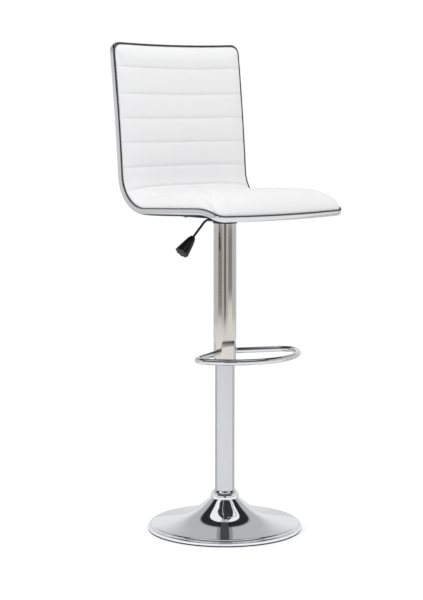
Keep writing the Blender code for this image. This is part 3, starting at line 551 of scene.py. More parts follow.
def formed(name: str, columns: int, rows: int, place: Placer, thick: bool = False) -> bpy.types.Object:
    """Forms a sheet or a block: a grid, extruded once for a block, with every point put in its place.

    Args:
        name: The piece's name.
        columns: Steps across.
        rows: Steps along.
        place: Says where the point of a column, a row and a level (0 or 1) goes.
        thick: Whether the grid is extruded to a closed block.

    Returns:
        The piece, not yet closed up.
    """
    put_down()
    bpy.ops.mesh.primitive_grid_add(x_subdivisions=columns, y_subdivisions=rows, size=2.0)
    obj = take_up(name)
    if thick:
        bpy.ops.mesh.extrude_region_move(TRANSFORM_OT_translate={"value": (0.0, 0.0, 1.0)})
    bpy.ops.object.mode_set(mode="OBJECT")
    for vert in obj.data.vertices:
        column = round((vert.co.x + 1.0) / 2.0 * columns)
        row = round((vert.co.y + 1.0) / 2.0 * rows)
        vert.co = place(column, row, round(vert.co.z))
    return obj


# ---------------------------------------------------------------- base


@dataclass
class TrumpetBase:
    """The standing base: a trumpet shell on a rubber ring, the collar and the guard tube."""

    sheet: float = 0.0015
    lip_round: float = 0.004
    lip_height: float = 0.0095
    lip_back_turn: float = 72.0  # degrees that the wall behind the lip turns
    hem_in: float = 0.0005
    hem_up: float = 0.0006
    shoulder: float = 0.0050
    shoulder_reach: float = 0.0014
    slope: float = 0.165
    flare: float = 0.0367
    flare_reach: float = 0.040
    flare_power: float = 1.5
    curl: float = 0.0030
    curl_reach: float = 0.004
    neck_stub: float = 0.004
    neck_radius: float = 0.0345
    rows: int = 56
    around: int = 144
    ring_width: float = 0.0125
    ring_corner: float = 0.0008
    collar_wall: float = 0.0013
    collar_gap: float = 0.0003
    collar_crown: float = 0.0022
    collar_corner: float = 0.0008
    collar_brow: float = 0.0006
    collar_power: float = 0.8
    collar_fall: float = 0.65
    collar_rows: int = 12
    collar_hem: float = 0.0003
    collar_skirt: float = 0.004
    collar_bore: tuple[Row, ...] = ((0.002, 0.0045), (0.0, 0.003), (0.0, 0.0004))  # out, down

    def height(self, radius: float) -> float:
        """Height of the shell's outer face at a radius."""
        inward = self.rim - self.lip_round - radius
        outward = max(radius - self.neck_radius, 0.0)
        low = self.lip_height + self.lip_round / 2 + self.slope * inward
        shoulder = self.shoulder * (1.0 - math.exp(-inward / self.shoulder_reach))
        swell = self.flare * math.exp(-((outward / self.flare_reach) ** self.flare_power))
        return low + shoulder + swell + self.curl * math.exp(-outward / self.curl_reach)

    def build(self) -> None:
        """Builds and dresses every piece of the base."""
        low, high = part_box("base_shell")
        self.rim = high.x
        self.floor = low.z
        self.shell()
        self.edge_ring()
        self.collar()
        straight_tube("guard_tube", "lower_tube", Body.BASE, DARKER_PAINTED_INNER_CHROME)

    def shell(self) -> None:
        """The trumpet shell, with its rolled lip and its wall."""
        reach = self.rim - self.lip_round - self.neck_radius
        shares = [(1.0 - math.cos(math.pi * i / self.rows)) / 2 for i in range(self.rows + 1)]
        radii = [self.neck_radius + reach * share for share in shares]
        neck = self.height(self.neck_radius)
        rows = [(self.neck_radius, neck + self.neck_stub), (self.neck_radius, neck + self.neck_stub / 3)]
        rows += [(radius, self.height(radius)) for radius in radii[:-1]]
        bend = self.rim - self.lip_round
        level = self.height(bend) - self.lip_round
        rows += quarter(bend, level, self.lip_round, 90.0, 0.0, 8)
        rows += [(self.rim, self.floor + self.hem_up), (self.rim - self.hem_in, self.floor)]
        wall = self.sheet
        back = [(self.rim - wall, self.floor)]
        back += quarter(bend, level, self.lip_round - wall, 0.0, self.lip_back_turn, 4)
        back += [(radius, self.height(radius) - wall) for radius in reversed(radii[1:-1:3])]
        back += [(self.neck_radius - wall, neck - wall), (self.neck_radius - wall, neck + self.neck_stub)]
        obj = turned("base_trumpet", rows + back + rows[:1], self.around)
        hand_over(obj, Body.BASE, LIGHTER_PAINTED_BASE_CHROME, "base_shell")

    def edge_ring(self) -> None:
        """The rubber ring that the base stands on."""
        low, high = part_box("base_edge_ring")
        profile = round_ring(high.x - self.ring_width, high.x, low.z, high.z, self.ring_corner)
        obj = turned("base_rubber_ring", profile, self.around)
        hand_over(obj, Body.BASE, BLACK_RUBBER, "base_edge_ring")

    def collar(self) -> None:
        """The chrome cup between the trumpet's neck and the guard tube."""
        low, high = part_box("base_collar")
        bottom, top, outer = low.z, high.z, high.x
        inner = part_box("lower_tube")[1].x + self.collar_gap
        crown = inner + self.collar_crown
        corner = self.collar_corner
        rows = quarter(crown - corner, top - corner, corner, 90.0, 20.0, 4)
        for i in range(1, self.collar_rows + 1):
            share = i / self.collar_rows
            radius = crown + (outer - crown) * math.sin(share * math.pi / 2) ** self.collar_power
            fall = share * (self.collar_fall + (1.0 - self.collar_fall) * share)
            rows.append((radius, top - self.collar_brow - (top - bottom - self.collar_brow) * fall))
        wall = outer - self.collar_wall
        rows += [(outer - self.collar_hem, bottom), (wall, bottom), (wall, bottom + self.collar_skirt)]
        rows += [(inner + out, top - down) for out, down in self.collar_bore]
        hand_over(turned("collar", rows + rows[:1]), Body.BASE, LIGHTER_PAINTED_BASE_CHROME, "base_collar")


# ---------------------------------------------------------------- column and footrest


@dataclass
class Column:
    """The sliding outer tube with its two dark rings."""

    ring_height: float = 0.005
    ring_gap: float = 0.0002
    ring_corner: float = 0.0008
    ring_bevel: float = 0.0005
    bore_gap: float = 0.0004
    sleeve_gap: float = 0.0003

    def build(self) -> None:
        """Builds and dresses the sliding tube and its rings."""
        straight_tube("sliding_tube", "upper_tube", Body.SEAT, WARM_PAINTED_OUTER_CHROME)
        low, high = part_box("upper_tube_top_ring")
        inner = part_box("upper_tube")[1].x + self.ring_gap
        profile = round_ring(inner, high.x, low.z, high.z, TUBE_CORNER)
        hand_over(turned("tube_top_ring", profile), Body.SEAT, BLACK_PLASTIC, "upper_tube_top_ring")
        self.glide()

    def glide(self) -> None:
        """The bush in the sliding tube's lower end, of which only a dark ring shows."""
        low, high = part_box("upper_tube_bottom_ring")
        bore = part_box("lower_tube")[1].x + self.bore_gap
        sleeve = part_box("upper_tube")[1].x - TUBE_WALL - self.sleeve_gap
        flange = low.z + self.ring_height
        corner = self.ring_corner
        rows = [(sleeve, high.z), (sleeve, flange), (high.x - self.ring_bevel, flange)]
        rows += quarter(high.x - corner, low.z + corner, corner, 0.0, -90.0, 4)
        rows += [(bore, low.z), (bore, high.z)]
        obj = turned("glide_ring", rows + rows[:1])
        hand_over(obj, Body.SEAT, BLACK_PLASTIC, "upper_tube_bottom_ring")


@dataclass
class Footrest:
    """The closed loop of tube in front of the column, with the welds that hold it."""

    arm_slope: float = math.radians(25.0)
    arm_length: float = 0.146
    arm_start_y: float = 0.008
    end_radius: float = 0.036
    reach: float = 0.190
    weld_radius: float = 0.0016
    arm_steps: int = 12
    end_steps: int = 28
    bow_steps: int = 34
    weld_steps: int = 32

    def build(self) -> None:
        """Builds and dresses the loop and its two welds."""
        low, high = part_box("footrest_loop")
        self.radius = (high.z - low.z) / 2
        self.level = (high.z + low.z) / 2
        self.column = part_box("upper_tube")[1].x
        self.origin = Vector((0.0, self.arm_start_y, self.level))
        self.arm = Vector((math.cos(self.arm_slope), -math.sin(self.arm_slope), 0.0))
        self.across = Vector((math.sin(self.arm_slope), math.cos(self.arm_slope), 0.0))
        loop = piped("footrest_tube", self.path(), self.radius, 7)
        hand_over(loop, Body.SEAT, CHROME, "footrest_loop")
        for side, name in ((1.0, "footrest_weld_left"), (-1.0, "footrest_weld_right")):
            hand_over(piped(name, self.weld(side), self.weld_radius, 2, loop=True), Body.SEAT, CHROME)

    def path(self) -> list[Vector]:
        """The loop's centreline: an arm, a round end, the front bow, and the same back again."""
        slope = self.arm_slope
        start = self.origin + self.arm * ((self.column + self.radius * math.tan(slope)) / self.arm.x)
        elbow = self.origin + self.arm * self.arm_length
        end_middle = elbow - self.across * self.end_radius
        drop = end_middle.y + self.reach
        rise = end_middle.x**2 + drop**2 - self.end_radius**2
        front_radius = rise / (2 * (drop - self.end_radius))
        front_middle = Vector((0.0, front_radius - self.reach, self.level))
        outward = (end_middle - front_middle).normalized()
        first = math.pi / 2 - slope
        last = math.atan2(outward.y, outward.x)
        half = [start.lerp(elbow, i / self.arm_steps) for i in range(self.arm_steps)]
        half += self.bend(end_middle, self.end_radius, first, last, self.end_steps)
        half += self.bend(front_middle, front_radius, last, -math.pi / 2, self.bow_steps)[1:]
        return half + [Vector((-point.x, point.y, point.z)) for point in reversed(half[:-1])]

    @staticmethod
    def bend(middle: Vector, radius: float, first: float, last: float, steps: int) -> list[Vector]:
        """Points on a level arc round a middle, between two angles."""
        angles = [first + (last - first) * i / steps for i in range(steps + 1)]
        return [middle + Vector((math.cos(a), math.sin(a), 0.0)) * radius for a in angles]

    def weld(self, side: float) -> list[Vector]:
        """The line where an arm meets the column, on the side given as 1 or -1."""
        points = []
        for i in range(self.weld_steps):
            turn = 2 * math.pi * i / self.weld_steps
            start = self.origin + self.across * self.radius * math.cos(turn)
            start.z += self.radius * math.sin(turn)
            ahead = start.xy.dot(self.arm.xy)
            along = -ahead + math.sqrt(max(ahead**2 - start.xy.dot(start.xy) + self.column**2, 0.0))
            met = start + self.arm * along
            points.append(Vector((met.x * side, met.y, met.z)))
        return points


# ---------------------------------------------------------------- height lever


@dataclass
class HeightLever:
    """The bent black rod with its fluted grip."""

    inner_x: float = 0.004
    bend_x: float = -0.062
    drop: float = math.radians(44.5)
    slant: float = 0.060
    rod_radius: float = 0.003
    bend_radius: float = 0.014
    grip_length: float = 0.054
    root_radius: float = 0.0075
    end_radius: float = 0.0178
    lobes: int = 8
    lobe_depth: float = 0.0024
    lobe_steps: int = 12
    lobe_start: float = 0.12
    lobe_growth: float = 1.6
    lobe_cut: float = 1.4
    body_share: float = 0.955
    body_rows: int = 30
    grip_rows: int = 40
    end_power: float = 0.8
    neck_share: float = 0.06
    neck_pinch: float = 0.86
    flare_power: float = 0.72
    bend_steps: int = 12

    def build(self) -> None:
        """Builds and dresses the rod and the grip."""
        low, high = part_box("lever_rod")
        height = high.z - self.rod_radius
        down = Vector((-math.cos(self.drop), 0.0, -math.sin(self.drop)))
        bend = Vector((self.bend_x, 0.0, height))
        points = [Vector((self.inner_x, 0.0, height))]
        reach = self.bend_radius
        for i in range(self.bend_steps + 1):
            share = i / self.bend_steps
            before = bend + Vector((reach * (1 - share), 0.0, 0.0))
            points.append(before.lerp(bend + down * reach * share, share))
        end = bend + down * self.slant
        rod = piped("height_rod", points + [end], self.rod_radius, 5)
        hand_over(rod, Body.LEVER, BLACK_STEEL, "lever_rod")
        hand_over(self.grip(end, down), Body.LEVER, GRIP_PLASTIC, "lever_grip")

    def grip(self, start: Vector, down: Vector) -> bpy.types.Object:
        """The grip: a narrow neck, then flutes that deepen to a scalloped round end.

        Args:
            start: The middle of its root.
            down: The way that it points.

        Returns:
            The grip.
        """
        first = Vector((0.0, 1.0, 0.0))
        second = down.cross(first)
        around = self.lobe_steps * self.lobes
        widest = self.outline(1.0)

        def place(column: int, row: int, level: int) -> Vector:
            turn = 2 * math.pi * column / around
            if row <= self.body_rows:
                share = row / self.body_rows
                size = self.outline(share)
                along = self.body_share * share
            else:
                share = (row - self.body_rows) / (self.grip_rows - self.body_rows)
                size = widest * math.cos(share * math.pi / 2) ** self.end_power
                along = self.body_share + (1.0 - self.body_share) * math.sin(share * math.pi / 2)
            flute = self.lobe_depth * unit((along - self.lobe_start) * self.lobe_growth) * size / widest
            size -= flute * (1.0 - abs(math.cos(self.lobes * turn / 2))) * self.lobe_cut
            side = first * math.cos(turn) + second * math.sin(turn)
            return start + down * self.grip_length * along + side * max(size, POLE)

        return close_up(formed("height_grip", around, self.grip_rows, place), FOLD_ANGLE)

    def outline(self, share: float) -> float:
        """The grip's radius at a share of its length, before the flutes are cut."""
        pinch = self.neck_pinch + (1.0 - self.neck_pinch) * min(share / self.neck_share, 1.0)
        flare = unit((share - self.neck_share) / (1.0 - self.neck_share)) ** self.flare_power
        return self.root_radius * pinch + (self.end_radius - self.root_radius) * flare


# ---------------------------------------------------------------- seat


@dataclass
class SeatForm:
    """The bent form that every piece of the seat follows, laid out flat and then wrapped."""

    front_y: float = -0.215
    front_rise: float = 0.012
    lip_length: float = 0.087
    lip_start: float = math.radians(24.0)
    slope: float = math.radians(-2.5)
    flat_length: float = 0.195
    bend_radius: float = 0.085
    foot: float = math.radians(86.0)
    back_length: float = 0.333
    top: float = math.radians(82.6)
    top_corner: float = 0.026
    front_corner: float = 0.024
    front_bow: float = 0.008
    top_dip: float = 0.005
    seam_share: float = 0.67  # how far up the bend the first seam lies
    under_share: float = 0.55  # how far up the bend the lining ends
    side_steps: int = 150
    end_steps: int = 48
    corner_steps: int = 12
    arcs: list[tuple[float, float, float, float, float]] = field(default_factory=list)

    def __post_init__(self) -> None:
        """Chains the side profile's arcs from the front edge to the top."""
        low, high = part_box("trim_band")
        self.half = high.x
        y, z = self.front_y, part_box("seat_plate")[1].z + self.front_rise
        stretches = (
            (self.lip_length, self.lip_start, self.slope),
            (self.flat_length, self.slope, self.slope),
            (self.bend_radius * (self.foot - self.slope), self.slope, self.foot),
            (self.back_length, self.foot, self.top),
        )
        for length, first, last in stretches:
            self.arcs.append((length, first, last, y, z))
            step = self.along_arc(length, first, last, length)
            y, z = y + step[0], z + step[1]
        self.bend_start = self.lip_length + self.flat_length
        self.bend_end = self.bend_start + self.arcs[2][0]
        self.length = self.bend_end + self.back_length
        bend = self.arcs[2][0]
        self.seam = self.bend_start + self.seam_share * bend
        self.under_end = self.bend_start + self.under_share * bend

    @staticmethod
    def along_arc(length: float, first: float, last: float, distance: float) -> tuple[float, float]:
        """How far an arc has moved in Y and Z after a distance along it."""
        turn = (last - first) * distance / length
        if abs(turn) < 1e-9:
            return distance * math.cos(first), distance * math.sin(first)
        radius = distance / turn
        return (
            radius * (math.sin(first + turn) - math.sin(first)),
            radius * (math.cos(first) - math.cos(first + turn)),
        )

    def bowed(self, across: float, along: float) -> float:
        """A place along the seat, moved with the front edge's bow and the top edge's dip."""
        middle = 1.0 - (across / self.half) ** 2
        toward_front = 1.0 - min(along / self.lip_length, 1.0)
        toward_top = max(along - self.bend_end, 0.0) / self.back_length
        return along - self.front_bow * middle * toward_front - self.top_dip * middle * toward_top

    def wrapped(self, across: float, along: float, raised: float) -> Vector:
        """Where a place on the flat layout comes to lie.

        Args:
            across: Distance from the seat's middle line.
            along: Distance from its front edge.
            raised: Height over the form.

        Returns:
            The point in the stool's frame.
        """
        place = self.bowed(across, along)
        left = place
        for arc in self.arcs:
            if left <= arc[0] or arc is self.arcs[-1]:
                break
            left -= arc[0]
        length, first, last, y, z = arc
        step = self.along_arc(length, first, last, left)
        angle = first + (last - first) * left / length
        back, up = raised * math.sin(angle), raised * math.cos(angle)
        return Vector((across, y + step[0] - back, z + step[1] + up))

    def half_width(self, along: float, inset: float) -> float:
        """Half the width at a distance along, narrower in the round corners."""
        half = self.half - inset
        for to_end, corner in (
            (along - inset, self.front_corner - inset),
            (self.length - inset - along, self.top_corner - inset),
        ):
            if to_end < corner:
                depth = corner - max(to_end, 0.0)
                half -= corner - math.sqrt(max(corner**2 - depth**2, 0.0))
        return half

    def outline(self, inset: float) -> list[Row]:
        """The seat's flat outline at an inset, as (across, along), once round.

        Every inset gives the same number of points, in the same order.
        """
        half = self.half - inset
        top, front = self.top_corner - inset, self.front_corner - inset
        start, end = self.front_corner, self.length - self.top_corner
        across = [2 * i / self.end_steps for i in range(self.end_steps)]
        side = [start + (end - start) * i / self.side_steps for i in range(self.side_steps)]
        rows = [(half, along) for along in side]
        rows += self.corner(half - top, end, top, 0.0)
        rows += [(half - top - share * (half - top), self.length - inset) for share in across]
        rows += self.corner(-half + top, end, top, 90.0)
        rows += [(-half, end - (along - start)) for along in side]
        rows += self.corner(-half + front, start, front, 180.0)
        rows += [(-half + front + share * (half - front), inset) for share in across]
        rows += self.corner(half - front, start, front, 270.0)
        return rows

    def corner(self, across: float, along: float, radius: float, start: float) -> list[Row]:
        """A quarter of a circle on the flat layout, without its last point."""
        angles = [math.radians(start + 90.0 * i / self.corner_steps) for i in range(self.corner_steps)]
        return [(across + radius * math.cos(a), along + radius * math.sin(a)) for a in angles]


def spread(start: float, end: float, step: float) -> list[float]:
    """Even places from start up to but not including end, about a step apart."""
    count = max(round((end - start) / step), 1)
    return [start + (end - start) * i / count for i in range(count)]


@dataclass
class SeatTrim:
    """The polished band round the seat and a dark rubber ring in front of it, which paints in the dark
    reflection seen along the band's lip.
    """

    form: SeatForm
    thickness: float = 0.0012
    depth: float = 0.0130
    front: float = 0.0006
    crown: float = 0.0011
    face_steps: int = 10
    face_power: float = 2.6
    return_edge: float = 0.002
    gasket_radius: float = 0.0021
    gasket_gap: float = 0.0003
    gasket_rise: float = 0.0007

    def build(self) -> None:
        """Builds and dresses the band and the dark ring that paints in the lip's dark reflection."""
        section = self.section()
        rings = [self.form.outline(inset) for inset, _ in section]
        count = len(rings[0])

        def place(column: int, row: int, level: int) -> Vector:
            inset, raised = section[row % len(section)]
            across, along = rings[row % len(section)][column % count]
            return self.form.wrapped(across, along, raised)

        band = close_up(formed("seat_trim", count, len(section), place), FOLD_ANGLE)
        hand_over(band, Body.SEAT, CHROME, "trim_band")
        # Painted reflection: a dark ring along the band's lip, standing in for the dark reflection that
        # the lip shows.
        middle = self.thickness + self.gasket_gap + self.gasket_radius
        outline = self.form.outline(middle)
        points = [self.form.wrapped(across, along, self.gasket_rise) for across, along in outline]
        gasket = piped("seat_ring_painted_dark_reflection", points, self.gasket_radius, 3, loop=True)
        hand_over(gasket, Body.SEAT, DARK_REFLECTION_RUBBER, "trim_gasket")

    def section(self) -> list[Row]:
        """The band's section as (inset, raised): a convex face, rolled edges and a flat back."""
        back = self.front - self.depth
        rolled = self.thickness + self.crown * 0.5
        rows = []
        for i in range(self.face_steps + 1):
            share = 2.0 * i / self.face_steps - 1.0
            level = self.front - self.depth * i / self.face_steps
            rows.append((self.crown * abs(share) ** self.face_power, level))
        rows += [(rolled, back), (self.thickness, back + self.return_edge)]
        rows += [(self.thickness, self.front - self.return_edge), (rolled, self.front)]
        return rows


@dataclass
class Upholstery:
    """The one-piece white cushion: a smooth seat and a back sewn in six channels."""

    form: SeatForm
    inset: float = 0.0058
    bottom: float = -0.0015
    seat_crown: float = 0.039
    back_crown: float = 0.019
    edge_reach: float = 0.030
    front_reach: float = 0.115
    front_level: float = 0.64
    side_level: float = 0.82
    blend_start: float = 0.7
    least_height: float = 0.0004
    channels: int = 6
    channel_step: float = 0.0617
    top_drop: float = 0.0055
    pillow: float = 0.0032
    groove: float = 0.00144
    groove_width: float = 0.0035
    seam_bow: float = 0.004
    seam_bow_loss: float = 0.0015
    side_fade: float = 0.020
    first_ease: float = 0.02
    pucker: float = 0.00045
    pucker_reach: float = 0.008
    pucker_waves: tuple[float, float, float] = (410.0, 57.0, 163.0)  # radians in a metre
    pucker_sway: float = 2.1
    pucker_shift: float = 1.3
    columns: int = 56
    edge_rows: int = 7
    seat_step: float = 0.008
    channel_row_step: float = 0.007
    before_seam: float = 0.012
    after_seam: float = 0.013
    beside_seam: tuple[float, ...] = (-0.0075, -0.0035, -0.0015, 0.0, 0.0015, 0.0035, 0.0075)
    least_step: float = 0.0008
    cloth_frames: int = 20
    pressure: float = 4.0
    stiffness: float = 40.0
    bending: float = 4.0
    held_height: float = 0.004
    cap: float = 0.004

    def build(self) -> None:
        """Forms the flat pad, lets it swell, sews it and wraps it on the seat."""
        self.seams = [self.form.seam + self.channel_step * i for i in range(self.channels)]
        self.seams[-1] += self.top_drop
        self.rows = self.make_rows()
        pad = self.flat_pad()
        self.swell_by_cloth(pad)
        finer = pad.modifiers.new("finer", "SUBSURF")
        finer.levels = finer.render_levels = 1
        apply_all(pad)
        for vert in pad.data.vertices:
            across, along, raised = vert.co
            if raised > self.bottom + self.least_height:
                raised += self.sewing(across, along)
            vert.co = self.form.wrapped(across, along, raised)
        close_up(pad, PAD_ANGLE)
        hand_over(pad, Body.SEAT, LEATHER, "seat_cover", "seat_foam", "back_cover", "back_foam")

    def make_rows(self) -> list[float]:
        """Places of the pad's rows: close together at its ends and beside each seam."""
        start, end = self.inset, self.form.length - self.inset
        reach = self.edge_reach
        turns = [math.pi / 2 * i / self.edge_rows for i in range(self.edge_rows + 1)]
        places = [start + reach * (1 - math.cos(turn)) for turn in turns[:-1]]
        places += spread(start + reach, self.seams[0] - self.before_seam, self.seat_step)
        for seam, after in zip(self.seams, self.seams[1:] + [end - reach + self.before_seam]):
            places += [seam + step for step in self.beside_seam]
            places += spread(seam + self.after_seam, after - self.before_seam, self.channel_row_step)
        places += [end - reach * (1 - math.sin(turn)) for turn in turns]
        kept = [places[0]]
        for place in sorted(places)[1:]:
            if place - kept[-1] > self.least_step:
                kept.append(place)
        kept[-1] = end
        return kept

    def flat_pad(self) -> bpy.types.Object:
        """The pad laid out flat: across in X, along in Y and its height in Z."""

        def place(column: int, row: int, level: int) -> Vector:
            share = math.sin((column / self.columns * 2.0 - 1.0) * math.pi / 2)
            along = self.rows[row]
            across = share * self.form.half_width(along, self.inset)
            return Vector((across, along, self.height(share, along) if level else self.bottom))

        obj = formed("seat_cushion", self.columns, len(self.rows) - 1, place, thick=True)
        return close_up(obj)

    def height(self, share: float, along: float) -> float:
        """The pad's height before it is sewn.

        Args:
            share: From -1 at one side to 1 at the other.
            along: Distance from the front edge.

        Returns:
            Its height over the form.
        """
        form = self.form
        to_side = form.half_width(along, self.inset) * (1.0 - abs(share))
        level = self.side_level + (1.0 - self.side_level) * math.cos(share * math.pi / 2)
        from_front = along - self.inset
        ends = self.rise(from_front) * self.rise(form.length - self.inset - along)
        slow = self.rise(from_front * self.edge_reach / self.front_reach)
        ends *= self.front_level + (1.0 - self.front_level) * slow
        start = form.bend_start * self.blend_start
        blend = unit((along - start) / (form.bend_end - start))
        blend = blend * blend * (3.0 - 2.0 * blend)
        crown = self.seat_crown + (self.back_crown - self.seat_crown) * blend
        return max(crown * self.rise(to_side) * level * ends, self.least_height)

    def rise(self, to_edge: float) -> float:
        """Rises from 0 at an edge to 1 at a distance from it, as a quarter of an ellipse."""
        return math.sqrt(1.0 - (1.0 - unit(to_edge / self.edge_reach)) ** 2)

    def swell_by_cloth(self, pad: bpy.types.Object) -> None:
        """Lets the pad swell as cloth under pressure, with its underside held still."""
        start = [vert.co.copy() for vert in pad.data.vertices]
        held = pad.vertex_groups.new(name="held")
        level = self.bottom + self.held_height
        held.add([vert.index for vert in pad.data.vertices if vert.co.z < level], 1.0, "REPLACE")
        cloth = pad.modifiers.new("cloth", "CLOTH")
        cloth.settings.quality = 5
        cloth.settings.tension_stiffness = self.stiffness
        cloth.settings.compression_stiffness = self.stiffness
        cloth.settings.bending_stiffness = self.bending
        cloth.settings.use_pressure = True
        cloth.settings.uniform_pressure_force = self.pressure
        cloth.settings.vertex_group_mass = held.name
        cloth.settings.effector_weights.gravity = 0.0
        for step in range(1, self.cloth_frames + 1):
            bpy.context.scene.frame_set(step)
        apply_all(pad)
        bpy.context.scene.frame_set(1)
        for vert, rest in zip(pad.data.vertices, start):
            move = vert.co - rest
            if move.length > self.cap:
                move *= self.cap / move.length
            vert.co = rest + move

    def sewing(self, across: float, along: float) -> float:
        """How much the sewing moves the cover at a place on the back."""
        share = min(abs(across) / self.form.half, 1.0)
        fade = unit((self.form.half - self.inset - abs(across)) / self.side_fade) ** 0.5
        aways = []
        for number, seam in enumerate(self.seams):
            bow = (self.seam_bow - self.seam_bow_loss * number) * (1.0 - share**2)
            aways.append(abs(along - seam - bow))
        away = min(aways)
        moved = -self.groove * math.exp(-((away / self.groove_width) ** 2))
        into_back = along - self.seams[0] + self.first_ease
        if into_back > 0.0:
            out = min(away / (self.channel_step / 2), 1.0)
            pillow = self.pillow * (math.sqrt(max(1.0 - (1.0 - out) ** 2, 0.0)) - 1.0)
            moved += pillow * unit(into_back / self.first_ease)
        fine, slow, cross = (across * wave for wave in self.pucker_waves)
        ripple = math.sin(fine + self.pucker_sway * math.sin(slow)) * math.sin(cross + self.pucker_shift)
        moved += self.pucker * ripple * math.exp(-away / self.pucker_reach)
        return moved * fade


@dataclass
class RearCovers:
    """The black lining under the seat and the white cover behind the back."""

    form: SeatForm
    inset: float = 0.0022
    top: float = -0.0111
    thin: float = 0.0014
    under_bulge: float = 0.0105
    under_lean: float = 1.7
    back_bulge: float = 0.004
    bulge_power: float = 0.7
    joint: float = 0.0003
    plate_gap: float = 0.0003
    plate_reach: float = 1.5  # in half lengths of the seat plate
    row_step: float = 0.006
    columns: int = 64

    def build(self) -> None:
        """Builds and dresses both covers."""
        middle, end = self.form.under_end, self.form.length - self.inset
        under = self.cover("under_lining", self.inset, middle - self.joint, self.under_bulge, True)
        hand_over(under, Body.SEAT, BLACK_LINING, "under_cover")
        rear = self.cover("back_skin", middle + self.joint, end, self.back_bulge, False)
        hand_over(rear, Body.SEAT, LEATHER, "rear_cover")

    def cover(
        self, name: str, start: float, end: float, bulge: float, over_plate: bool
    ) -> bpy.types.Object:
        """One cover, bulging away from the shell.

        Args:
            name: The piece's name.
            start: Where it begins along the form.
            end: Where it ends.
            bulge: How far its middle stands off.
            over_plate: Whether it lies flat on the seat plate.

        Returns:
            The cover.
        """
        rows = spread(start, end, self.row_step) + [end]
        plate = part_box("seat_plate")[1]

        def place(column: int, row: int, level: int) -> Vector:
            share = math.sin((column / self.columns * 2.0 - 1.0) * math.pi / 2)
            along = rows[row]
            across = share * self.form.half_width(along, self.inset)
            if level:
                return self.form.wrapped(across, along, self.top)
            way = unit((along - start) / (end - start)) ** (self.under_lean if over_plate else 1.0)
            middle = math.sqrt(max(1.0 - share**2, 0.0)) * math.sin(math.pi * way) ** self.bulge_power
            point = self.form.wrapped(across, along, self.top - self.thin - bulge * middle)
            if over_plate and abs(point.y) < self.plate_reach * plate.y:
                point.z = max(point.z, plate.z + self.plate_gap)
            return point

        return close_up(formed(name, self.columns, len(rows) - 1, place, thick=True), FOLD_ANGLE)


# ---------------------------------------------------------------- pieces kept as they are


def dress_frame_nodes() -> None:
    """Gives the frame's own nodes that stay their finishes."""
    kept = {
        STEEL: (
            "base_socket", "lower_race", "thrust_bearing", "piston_rod", "piston", "upper_race",
            "retaining_clip", "gas_cylinder", "taper_cup", "lever_pin", "valve_button",
            "seat_screw_1", "seat_screw_2", "seat_screw_3", "seat_screw_4",
        ),
        BLACK_STEEL: ("base_plate", "lever_housing", "seat_plate"),
        BLACK_PLASTIC: ("guide_bush",),
        PLYWOOD: ("seat_shell",),
    }
    for finish, names in kept.items():
        for name in names:
            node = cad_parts[name]
            node.data.materials.clear()
            node.data.materials.append(finish_of(finish))


# ---------------------------------------------------------------- studio


